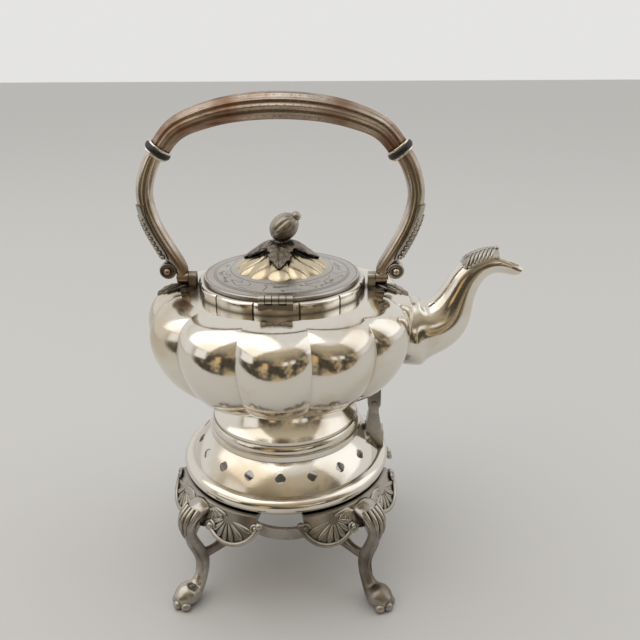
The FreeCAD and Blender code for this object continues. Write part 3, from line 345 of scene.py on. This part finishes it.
class Relief:
    """Cast ornament gathered into one mesh, in the row frame."""

    coil_points = 26
    groove_depth = 0.62

    def __init__(self) -> None:
        """Starts with nothing cast."""
        self.mesh = bmesh.new()

    def drop(self, start: Vector, finish: Vector, outward: Vector, width: float, height: float,
             tip: float = 0.55) -> None:
        """Adds a leaf lobe, full at its start, narrowing to its tip, with a groove down the middle.

        Args:
            start: where the lobe springs from.
            finish: its tip.
            outward: the way its back faces.
            width: half width.
            height: half height.
            tip: share by which it narrows.
        """
        along = finish - start
        side = outward.cross(along).normalized()
        up = along.cross(side).normalized()
        made = bmesh.ops.create_uvsphere(self.mesh, u_segments=16, v_segments=10, radius=1.0)["verts"]
        for vert in made:
            slim = 1.0 - tip * ((vert.co.z + 1) / 2) ** 1.5
            groove = self.groove_depth if vert.co.y > 0.0 and abs(vert.co.x) < 0.05 else 1.0
            vert.co.x *= slim
            vert.co.y *= slim * groove
        lay = Matrix((side * width, up * height, along / 2)).transposed().to_4x4()
        bmesh.ops.transform(self.mesh, matrix=Matrix.Translation((start + finish) / 2) @ lay, verts=made)

    def ball(self, centre: Vector, radius: float, around: int = 10, rings: int = 7) -> None:
        """Adds a ball.

        Args:
            centre: its middle.
            radius: its radius.
            around: number of faces around it.
            rings: number of faces from pole to pole.
        """
        made = bmesh.ops.create_uvsphere(
            self.mesh, u_segments=around, v_segments=rings, radius=radius)["verts"]
        bmesh.ops.translate(self.mesh, vec=centre, verts=made)

    def bead(self, points: list[Vector], thick: list[float]) -> None:
        """Adds a round bead along a smooth line.

        Args:
            points: the line's control points.
            thick: the bead's radius at each of them.
        """
        curve = bpy.data.curves.new("bead", "CURVE")
        curve.dimensions = "3D"
        curve.bevel_depth = 1.0
        curve.bevel_resolution = 2
        curve.use_fill_caps = True
        curve.resolution_u = 3
        spline = curve.splines.new("NURBS")
        spline.points.add(len(points) - 1)
        for point, place, radius in zip(spline.points, points, thick):
            point.co = (*place, 1.0)
            point.radius = radius
        spline.order_u = 3
        spline.use_endpoint_u = True
        holder = bpy.data.objects.new("bead", curve)
        line = bpy.data.meshes.new_from_object(holder)
        self.mesh.from_mesh(line)
        bpy.data.objects.remove(holder)
        bpy.data.curves.remove(curve)
        bpy.data.meshes.remove(line)

    def volute(self, centre: Vector, right: Vector, up: Vector, outer: float, turns: float, thick: float,
               inner: float = 0.22) -> None:
        """Adds a bead that coils inwards to a small ball.

        Args:
            centre: the coil's middle.
            right: first axis of its plane.
            up: second axis of its plane.
            outer: radius at the start.
            turns: number of turns, negative to coil the other way.
            thick: the bead's radius at the start.
            inner: share of the outer radius at which the coil ends.
        """
        points, radii = [], []
        for k in range(self.coil_points):
            share = k / (self.coil_points - 1)
            angle = 2 * math.pi * turns * share
            reach = outer * (1 - (1 - inner) * share)
            points.append(centre + right * (reach * math.cos(angle)) + up * (reach * math.sin(angle)))
            radii.append(thick * (1 - 0.35 * share))
        self.bead(points, radii)
        self.ball(centre, thick * 1.5, 12, 8)

    def finish(self, name: str, body: str, dress: bpy.types.Material, slot: str) -> bpy.types.Object:
        """Turns the ornament into a piece that rides on a body.

        Args:
            name: the piece's name.
            body: the body it rides on.
            dress: its material.
            slot: not used.

        Returns:
            The piece.
        """
        data = bpy.data.meshes.new(name)
        self.mesh.to_mesh(data)
        self.mesh.free()
        for face in data.polygons:
            face.use_smooth = True
        piece = bpy.data.objects.new(name, data)
        bpy.context.scene.collection.objects.link(piece)
        data.materials.append(dress)
        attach(piece, body)
        log.info("%s: %d faces on %s", name, len(data.polygons), body)
        return piece


@dataclass
class LegOrnament:
    """Shell fans, volutes and knee leaves cast on the four legs, in millimetres.

    Places on the apron are given by distance to the side of the leg's plane and height. The ridge and the
    knee are given by distance from the kettle's axis and height.
    """

    edge: float = 85.1
    flare: float = 94.0
    top: float = 87.4
    low: float = 64.2
    lean: float = 0.38
    fan_root: tuple[float, float] = (27.0, 82.5)
    fan_root_lift: float = 0.4
    fan_tips: Pairs = (
        (14.0, 76.0), (17.5, 70.8), (23.0, 67.2), (29.5, 65.8), (36.0, 66.6), (42.5, 70.2), (47.5, 76.5))
    fan_lift: float = 0.5
    fan_start: float = 0.22
    fan_half: tuple[float, float] = (2.5, 1.5)
    fan_narrowing: float = 0.62
    coils: tuple[tuple[float, float, float, float], ...] = ((14.5, 73.6, 4.6, 1.6), (48.8, 80.6, 3.9, -1.6))
    coil_lift: float = 1.4
    coil_thick: float = 1.25
    leaf_root: tuple[float, float] = (10.0, 86.0)
    leaf_tips: Pairs = ((12.0, 73.5), (16.0, 76.0), (20.0, 78.5), (23.5, 81.5), (26.0, 84.5))
    leaf_lift: float = 0.7
    leaf_start: float = 0.12
    leaf_half: tuple[float, float] = (2.3, 1.2)
    leaf_narrowing: float = 0.3
    ridge: Pairs = (
        (101.4, 61.5), (101.3, 54.0), (98.9, 48.0), (96.4, 42.0),
        (94.4, 36.0), (93.5, 30.0), (94.5, 24.0), (95.4, 18.6))
    ridge_side: float = 3.0
    ridge_thick: float = 1.0
    knee: Pairs = (
        (97.0, 85.0), (101.4, 82.0), (104.5, 78.0), (106.0, 74.0),
        (106.4, 70.0), (105.9, 66.0), (105.0, 62.0))
    knee_swell: tuple[float, ...] = (1.6, 2.0, 2.2, 2.0, 1.7, 1.2, 0.6)
    knee_lobes: tuple[tuple[float, int], ...] = ((-7.2, 4), (-3.6, 6), (0.0, 7), (3.6, 6), (7.2, 4))
    knee_round: float = 0.04
    legs: dict[str, float] = field(default_factory=lambda: {
        "rear_right": 45.0, "rear_left": 135.0, "front_left": 225.0, "front_right": 315.0})

    def on_apron(self, across: float, height: float, lift: float = 0.3) -> tuple[Vector, Vector]:
        """A point of the apron's outer face and the way it faces, in metres.

        Args:
            across: distance to the side of the leg's plane.
            height: height above the feet.
            lift: distance off the face.

        Returns:
            The point and its outward direction.
        """
        radius = self.edge + (self.flare - self.edge) * (self.top - height) / (self.top - self.low) + lift
        point = Vector((math.sqrt(radius ** 2 - across ** 2), across, height))
        outward = Vector((point.x, point.y, radius * self.lean)).normalized()
        return point * MM, outward

    def cast_leg(self, relief: Relief) -> None:
        """Adds one leg's ornament, in the plane of a leg that points along +X."""
        for sign in SIDES:
            root, _ = self.on_apron(sign * self.fan_root[0], self.fan_root[1], self.fan_root_lift)
            for across, height in self.fan_tips:
                tip, outward = self.on_apron(sign * across, height, self.fan_lift)
                wide, tall = (half * MM for half in self.fan_half)
                relief.drop(tip, root.lerp(tip, self.fan_start), outward, wide, tall, self.fan_narrowing)
            for across, height, reach, turns in self.coils:
                centre, outward = self.on_apron(sign * across, height, self.coil_lift)
                right = Vector((0, 0, 1)).cross(outward).normalized()
                up = outward.cross(right).normalized()
                relief.volute(centre, right, up, reach * MM, turns * sign, self.coil_thick * MM)
            root, _ = self.on_apron(sign * self.leaf_root[0], self.leaf_root[1])
            for across, height in self.leaf_tips:
                tip, outward = self.on_apron(sign * across, height, self.leaf_lift)
                wide, tall = (half * MM for half in self.leaf_half)
                relief.drop(root.lerp(tip, self.leaf_start), tip, outward, wide, tall, self.leaf_narrowing)
            ridge = [Vector((x, sign * self.ridge_side, z)) * MM for x, z in self.ridge]
            relief.bead(ridge, [self.ridge_thick * MM] * len(ridge))
        for across, count in self.knee_lobes:
            back = self.knee_round * across ** 2
            lobe = [Vector((x - back, across, z)) * MM for x, z in self.knee[:count]]
            relief.bead(lobe, [r * MM for r in self.knee_swell[-count:]])

    def build(self, dress: bpy.types.Material) -> None:
        """Makes a piece for each leg."""
        for name, degrees in self.legs.items():
            relief = Relief()
            self.cast_leg(relief)
            turn = Matrix.Rotation(math.radians(degrees), 4, "Z")
            bmesh.ops.transform(relief.mesh, matrix=turn, verts=relief.mesh.verts[:])
            relief.finish(f"leg_ornament_{name}", "stand", dress, "cast_silver")


@dataclass
class HandleOrnament:
    """Husk chains down the outer side of the arms, and the coils of the volutes, in millimetres.

    The line runs down an arm's outer side, by distance from the kettle's axis and height.
    """

    line: Pairs = (
        (104.4, 293.6), (103.4, 290.0), (102.3, 286.4), (100.9, 282.8), (99.3, 279.2),
        (97.6, 275.6), (95.8, 272.0), (93.9, 268.5), (91.9, 265.0), (90.0, 261.6))
    first_size: float = 0.62
    growth: float = 0.055
    stand_off: float = 0.3
    husk_half: tuple[float, float] = (2.3, 2.0)
    berry: float = 1.35
    berry_lift: float = 0.3
    leaf_half: tuple[float, float] = (1.5, 1.0)
    leaf_root: float = 1.2
    leaf_sink: float = 0.3
    leaf_reach: float = 4.4
    leaf_fall: float = 1.5
    knop: float = 1.7
    knop_in: float = 3.3
    knop_side: float = 6.2
    coil_centre: tuple[float, float] = (85.9, 252.0)
    coil_face: float = 5.35
    coil_reach: float = 6.0
    coil_turns: float = 1.6
    coil_thick: float = 0.95
    coil_inner: float = 0.5

    def husk(self, relief: Relief, a: Vector, b: Vector, sign: float, size: float) -> None:
        """Adds one husk of a chain, with its berry, side leaves and knops.

        Args:
            relief: what it is added to.
            a: the husk's tip.
            b: its root.
            sign: the side of the kettle.
            size: its share of full size.
        """
        outward = Vector((a.z - b.z, 0, b.x - a.x)) * sign
        outward.normalize()
        foot = outward * self.stand_off
        wide, tall = (half * size * MM for half in self.husk_half)
        relief.drop((b + foot) * MM, (a + foot) * MM, outward, wide, tall)
        relief.ball((a + foot + outward * self.berry_lift) * MM, self.berry * size * MM)
        wide, tall = self.leaf_half[0] * size * MM, self.leaf_half[1] * MM
        for side in SIDES:
            knop = Vector((a.x - sign * self.knop_in, side * self.knop_side, (a.z + b.z) / 2))
            relief.ball(knop * MM, self.knop * size * MM)
            lean = Vector((0, side * self.leaf_reach * size, 0)) - outward * self.leaf_fall
            start = b + foot + Vector((0, side * self.leaf_root, 0)) - outward * self.leaf_sink
            tip = a + foot + lean
            relief.drop(start * MM, tip * MM, outward + lean * 0.1, wide, tall)

    def build(self, dress: bpy.types.Material) -> None:
        """Makes a piece for each side of the handle."""
        for sign, word in ((1.0, "right"), (-1.0, "left")):
            relief = Relief()
            points = [Vector((x * sign, 0, z)) for x, z in self.line]
            for k, (a, b) in enumerate(zip(points, points[1:])):
                self.husk(relief, a, b, sign, self.first_size + self.growth * k)
            centre = Vector((self.coil_centre[0] * sign, 0, self.coil_centre[1]))
            right, up = Vector((-sign, 0, 0)), Vector((0, 0, 1))
            for side in SIDES:
                face = centre + Vector((0, side * self.coil_face, 0))
                relief.volute(face * MM, right, up, self.coil_reach * MM, self.coil_turns,
                              self.coil_thick * MM, self.coil_inner)
            relief.finish(f"handle_ornament_{word}", "handle", dress, "cast_silver")


@dataclass
class FinialLeaves:
    """Four drooping toothed leaves under the bud, on a small calyx."""

    hub_height: float = 273.4
    reach: float = 28.5
    half_width: float = 9.8
    thick: float = 0.9
    hub: float = 1.5
    arch: float = 1.6
    droop: float = 11.2
    rib_depth: float = 0.7
    vein_depth: float = 0.45
    edge_curl: float = 2.0
    grid: tuple[int, int] = (40, 16)
    calyx_lobes: int = 8
    calyx_top: tuple[float, float] = (2.0, 3.4)
    calyx_tip: tuple[float, float] = (6.6, -3.0)
    calyx_half: tuple[float, float] = (2.6, 1.9)
    calyx_tilt: float = 0.6

    def shaped(self, along: float, across: float) -> Vector:
        """A point of a leaf that points along +X, in millimetres.

        Args:
            along: share of its length, 0 to 1.
            across: share of its half width, -1 to 1.

        Returns:
            The point.
        """
        swell = math.sin(math.pi * min(1.0, 0.06 + 0.94 * along) ** 0.8) ** 0.75 if along < 0.999 else 0.0
        lobes = 0.80 + 0.20 * abs(math.cos(math.pi * 3.0 * along))
        teeth = 1.0 + 0.07 * math.sin(46.0 * along)
        half = self.half_width * max(swell, 0.10) * lobes * teeth
        rise = self.arch * math.sin(math.pi * min(1.0, along * 1.5)) - self.droop * along ** 2.1
        rib = -self.rib_depth * math.exp(-(across / 0.10) ** 2)
        wave = math.cos(2 * math.pi * (5.5 * along - 1.6 * abs(across)))
        vein = self.vein_depth * wave * (1 - along) * min(1.0, 4 * abs(across))
        curl = -self.edge_curl * across ** 2 * swell
        height = self.hub_height + rise + rib + vein + curl
        return Vector((self.hub + (self.reach - self.hub) * along, across * half, height))

    def build(self, dress: bpy.types.Material) -> None:
        """Makes the leaves as one piece in place of their plain solid."""
        relief = Relief()
        for degrees in (0, 90, 180, 270):
            turn = Matrix.Rotation(math.radians(degrees), 4, "Z")
            made = bmesh.ops.create_grid(
                relief.mesh, x_segments=self.grid[0], y_segments=self.grid[1], size=1.0)["verts"]
            for vert in made:
                vert.co = turn @ (self.shaped((vert.co.x + 1) / 2, vert.co.y) * MM)
        bmesh.ops.solidify(relief.mesh, geom=relief.mesh.faces[:], thickness=self.thick * MM)
        for k in range(self.calyx_lobes):
            angle = 2 * math.pi * (k + 0.5) / self.calyx_lobes
            out = Vector((math.cos(angle), math.sin(angle), 0))
            start, finish = ((out * away + Vector((0, 0, self.hub_height + rise))) * MM
                             for away, rise in (self.calyx_top, self.calyx_tip))
            wide, tall = (half * MM for half in self.calyx_half)
            relief.drop(start, finish, out + Vector((0, 0, self.calyx_tilt)), wide, tall)
        piece = relief.finish("finial_leaves_cast", "lid", dress, "cast_silver")
        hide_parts("finial_leaves")


@dataclass
class SpoutFeathers:
    """Feather ribs swept back from a spine over the top of the spout's leaf, in millimetres."""

    crest_start: float = 136.0
    crest_step: float = 4.0
    crest: tuple[float, ...] = (259.9, 262.9, 265.2, 266.8, 267.9, 268.5, 268.6)
    rows: int = 7
    first_row: float = 142.0
    row_run: float = 17.5
    sweep: float = 5.0
    rib_shares: tuple[float, ...] = (0.0, 0.3, 0.6, 0.85, 1.0)
    rib_thick: tuple[float, ...] = (0.7, 1.25, 1.4, 1.2, 0.8)
    spine_start: float = 137.0
    spine_step: float = 3.0
    spine_points: int = 8
    knob: float = 2.2
    knob_place: float = 160.0

    def on_leaf(self, along: float, across: float) -> Vector:
        """A point of the leaf's top, in metres.

        Args:
            along: distance from the kettle's axis.
            across: distance to the side of the spout's plane.

        Returns:
            The point.
        """
        share = min(max((along - self.crest_start) / self.crest_step, 0.0), len(self.crest) - 1.001)
        low, high = self.crest[int(share)], self.crest[int(share) + 1]
        fall = 0.045 * across ** 2 + 0.0002 * across ** 4
        return Vector((along, across, low + (high - low) * (share - int(share)) - fall)) * MM

    def build(self, dress: bpy.types.Material) -> None:
        """Makes the feathers as one piece."""
        relief = Relief()
        for k in range(self.rows):
            head = self.first_row + self.row_run * k / (self.rows - 1)
            for side in SIDES:
                rib = [self.on_leaf(head - self.sweep * t, side * (0.6 + 8.6 * t)) for t in self.rib_shares]
                relief.bead(rib, [r * MM for r in self.rib_thick])
        spine = [self.on_leaf(self.spine_start + self.spine_step * k, 0.0) for k in range(self.spine_points)]
        relief.bead(spine, [1.0 * MM] * len(spine))
        relief.ball(self.on_leaf(self.knob_place, 0.0), self.knob * MM, 14, 10)
        relief.finish("spout_feathers", "kettle", dress, "cast_silver")


@dataclass
class ShoulderLeaves:
    """Lobes over the leaf mounts that carry the handle's pivots, in millimetres."""

    rib: Spots = (
        (70.0, 0.0, 239.9), (76.0, 0.0, 239.8), (81.0, 0.0, 239.0),
        (86.0, 0.0, 238.0), (91.0, 0.0, 236.4), (95.5, 0.0, 233.8))
    rib_thick: tuple[float, ...] = (1.8, 1.7, 1.6, 1.4, 1.1, 0.7)
    lobes: tuple[Spots, ...] = (
        ((73.0, 1.5, 239.9), (77.0, 4.6, 239.6), (79.5, 7.0, 239.1)),
        ((80.0, 1.5, 239.1), (83.5, 3.8, 238.4), (87.0, 6.2, 237.7)),
        ((86.5, 1.2, 237.8), (89.5, 2.8, 236.8), (92.0, 4.0, 235.9)))
    lobe_thick: tuple[float, ...] = (1.5, 1.3, 0.7)

    def build(self, dress: bpy.types.Material) -> None:
        """Makes a piece for each side of the kettle."""
        for sign, word in ((1.0, "right"), (-1.0, "left")):
            relief = Relief()
            stem = [Vector((x * sign, y, z)) * MM for x, y, z in self.rib]
            relief.bead(stem, [r * MM for r in self.rib_thick])
            for side in SIDES:
                for lobe in self.lobes:
                    line = [Vector((x * sign, y * side, z)) * MM for x, y, z in lobe]
                    relief.bead(line, [r * MM for r in self.lobe_thick])
            relief.finish(f"shoulder_leaf_{word}", "kettle", dress, "cast_silver")


@dataclass
class PackedParts:
    """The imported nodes, each dressed with its finish."""

    single: dict[str, str] = field(default_factory=lambda: {
        "handle_grip": GRIP.name, "lid": ENGRAVED.name, "finial_petals": GILT.name})
    families: tuple[tuple[tuple[str, ...], str], ...] = (
        (("insulator",), DARK.name),
        (("handle_arm",), ARM.name),
        (("leg_", "finial_bud", "handle_mount", "arm_leaf", "spout_leaf"), CAST.name),
        (("burner_", "tilt_", "hinge_", "lid_hinge", "handle_pivot", "finial_nut", "finial_stud"),
         PLAIN.name))

    def finish_of(self, node: str) -> str:
        """The name of a node's finish.

        Args:
            node: the node's name.

        Returns:
            The finish's name.
        """
        if node in self.single:
            return self.single[node]
        for starts, finish in self.families:
            if node.startswith(starts):
                return finish
        return POLISHED.name

    def dress(self, dresses: dict[str, bpy.types.Material]) -> None:
        """Puts a finish in every node's slots."""
        for name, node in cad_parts.items():
            dress = dresses[self.finish_of(name)]
            if not node.material_slots:
                node.data.materials.append(dress)
            for slot in node.material_slots:
                slot.material = dress
            log.info("%s: %s", name, dress.name)


@dataclass
class Studio:
    """Pale floor, soft light, a surround for the reflections and the camera at the photograph's angle.

    A panel of the surround has its middle's angle, half its width, its lower and upper height and its colour.
    """

    eye: Triple = (0.03905, -0.50593, 0.4128)
    pan: float = -1.18
    pitch: float = 21.76
    roll: float = -0.35
    sensor: float = 36.0
    focal_share: float = 700.0 / 640.0
    aim: Triple = (0.0, 0.0, 0.2)
    floor_colour: Colour = (0.62, 0.617, 0.61, 1.0)
    floor_half: float = 4.0
    floor_front: float = 0.40
    backdrop: Colour = (0.78, 0.775, 0.765, 1.0)
    shade: Colour = (0.075, 0.062, 0.048, 1.0)
    upper: Colour = (0.50, 0.44, 0.33, 1.0)
    glow: Colour = (0.50, 0.40, 0.25, 1.0)
    dapple: Colour = (0.03, 0.026, 0.022, 1.0)
    overhead: Colour = (0.92, 0.91, 0.89, 1.0)
    panels: tuple[tuple[float, float, float, float, Colour], ...] = (
        (-2.60, 0.26, 0.02, 0.42, (0.95, 0.94, 0.91, 1.0)),
        (-1.20, 0.09, 0.06, 0.24, (0.95, 0.93, 0.88, 1.0)),
        (-0.93, 0.09, 0.06, 0.24, (0.95, 0.93, 0.88, 1.0)),
        (0.40, 0.30, 0.02, 0.36, (0.80, 0.83, 0.90, 1.0)),
        (-1.90, 0.10, -0.10, 0.20, (0.72, 0.50, 0.24, 1.0)))
    panel_edge: float = 0.03
    panel_full: float = 0.85
    backdrop_edges: tuple[float, float] = (-0.45, 0.0)
    rise_edges: tuple[float, float] = (0.10, 0.70)
    overhead_edges: tuple[float, float] = (0.70, 0.92)
    glow_scale: float = 2.6
    glow_edges: tuple[float, float] = (0.47, 0.60)
    dapple_stretch: Triple = (7.0, 7.0, 3.0)
    dapple_scale: float = 1.6
    dapple_edges: tuple[float, float] = (0.54, 0.60)
    dapple_share: float = 0.8
    lamps: tuple[tuple[str, Triple, float, float, Triple], ...] = (
        ("key", (-1.1, -0.4, 2.0), 2.6, 17.0, (1.0, 0.98, 0.95)),
        ("fill", (1.8, 0.0, 1.5), 2.0, 6.0, (0.97, 0.98, 1.0)))

    def camera(self) -> None:
        """Sets the camera from its pan, pitch and roll."""
        pan, pitch, roll = (math.radians(a) for a in (self.pan, self.pitch, self.roll))
        right = Vector((math.cos(pan), -math.sin(pan), 0))
        ahead = Vector((math.sin(pan) * math.cos(pitch), math.cos(pan) * math.cos(pitch), -math.sin(pitch)))
        up = right.cross(ahead)
        side = right * math.cos(roll) + up * math.sin(roll)
        top = up * math.cos(roll) - right * math.sin(roll)
        lens = bpy.data.cameras.new("view")
        lens.sensor_width = self.sensor
        lens.sensor_fit = "HORIZONTAL"
        lens.lens = self.sensor * self.focal_share
        lens.clip_start = 0.01
        viewer = bpy.data.objects.new("view", lens)
        turn = Matrix((side, top, -ahead)).transposed().to_4x4()
        viewer.matrix_world = Matrix.Translation(Vector(self.eye)) @ turn
        bpy.context.scene.collection.objects.link(viewer)
        bpy.context.scene.camera = viewer

    def lamp(self, name: str, place: Triple, size: float, watts: float, colour: Triple) -> None:
        """Adds a soft square lamp that faces the kettle.

        Args:
            name: the lamp's name.
            place: where it stands.
            size: its side.
            watts: its power.
            colour: its colour.
        """
        light = bpy.data.lights.new(name, "AREA")
        light.size = size
        light.energy = watts
        light.color = colour
        holder = bpy.data.objects.new(name, light)
        ahead = Vector(self.aim) - Vector(place)
        holder.location = place
        holder.rotation_euler = ahead.to_track_quat("-Z", "Y").to_euler()
        bpy.context.scene.collection.objects.link(holder)

    def floor(self) -> None:
        """A wide pale floor at the feet, which ends a short way in front of the kettle."""
        mesh = bmesh.new()
        bmesh.ops.create_grid(mesh, x_segments=1, y_segments=1, size=self.floor_half)
        bmesh.ops.translate(mesh, vec=(0, self.floor_half - self.floor_front, 0), verts=mesh.verts[:])
        data = bpy.data.meshes.new("floor")
        mesh.to_mesh(data)
        mesh.free()
        made, graph = blank_material("floor")
        graph.surfaced({"Base Color": self.floor_colour, "Roughness": 0.55})
        data.materials.append(made)
        ground = bpy.data.objects.new("floor", data)
        bpy.context.scene.collection.objects.link(ground)

    def surround(self) -> None:
        """Pale behind and beside the kettle; in front a dark band with bright panels; bright overhead."""
        world = bpy.data.worlds.new("surround")
        bpy.context.scene.world = world
        world.use_nodes = True
        graph = Graph(world.node_tree)
        way = graph.node("ShaderNodeTexCoord", output="Generated")
        split = graph.node("ShaderNodeSeparateXYZ", {}, {0: way})
        x, y, height = (Wire(graph, socket) for socket in split.socket.node.outputs)
        turn = x.worked("ARCTAN2", y, x)
        rise = height.stepped(*self.rise_edges)
        colour = graph.mixed(rise, self.shade, self.upper)
        glow = graph.noise(way, self.glow_scale, 2.0).stepped(*self.glow_edges) * (1.0 - rise)
        colour = graph.mixed(glow, colour, self.glow)
        speckle = graph.noise(graph.stretched(way, self.dapple_stretch), self.dapple_scale, 3.0)
        dapple = speckle.stepped(*self.dapple_edges) * (1.0 - rise) * self.dapple_share
        colour = graph.mixed(dapple, colour, self.dapple)
        colour = graph.mixed(height.stepped(*self.overhead_edges), colour, self.overhead)
        for middle, half, low, high, tint in self.panels:
            side = 1.0 - abs(turn - middle).stepped(half * self.panel_full, half)
            top = 1.0 - height.stepped(high - self.panel_edge, high)
            tall = height.stepped(low, low + self.panel_edge) * top
            colour = graph.mixed(side * tall, colour, tint)
        colour = graph.mixed(y.stepped(*self.backdrop_edges), colour, self.backdrop)
        back = graph.node("ShaderNodeBackground", {}, {"Color": colour, "Strength": 1.0})
        graph.node("ShaderNodeOutputWorld", {}, {"Surface": back})

    def build(self) -> None:
        """Sets up camera, floor, surround and lamps."""
        self.camera()
        self.floor()
        self.surround()
        for name, place, size, watts, colour in self.lamps:
            self.lamp(name, place, size, watts, colour)
        bpy.context.scene.view_settings.view_transform = "Standard"


def main() -> None:
    """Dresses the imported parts, adds the cast ornament and sets the studio."""
    logging.basicConfig(level=logging.INFO, format="%(message)s")
    finishes = (POLISHED, ENGRAVED, GILT, ARM, CAST, LEAFY, PLAIN, GRIP, DARK)
    dresses = {finish.name: finish.material() for finish in finishes}
    PackedParts().dress(dresses)
    LegOrnament().build(dresses[CAST.name])
    HandleOrnament().build(dresses[CAST.name])
    FinialLeaves().build(dresses[LEAFY.name])
    SpoutFeathers().build(dresses[CAST.name])
    ShoulderLeaves().build(dresses[CAST.name])
    Studio().build()


if __name__ == "__main__":
    main()
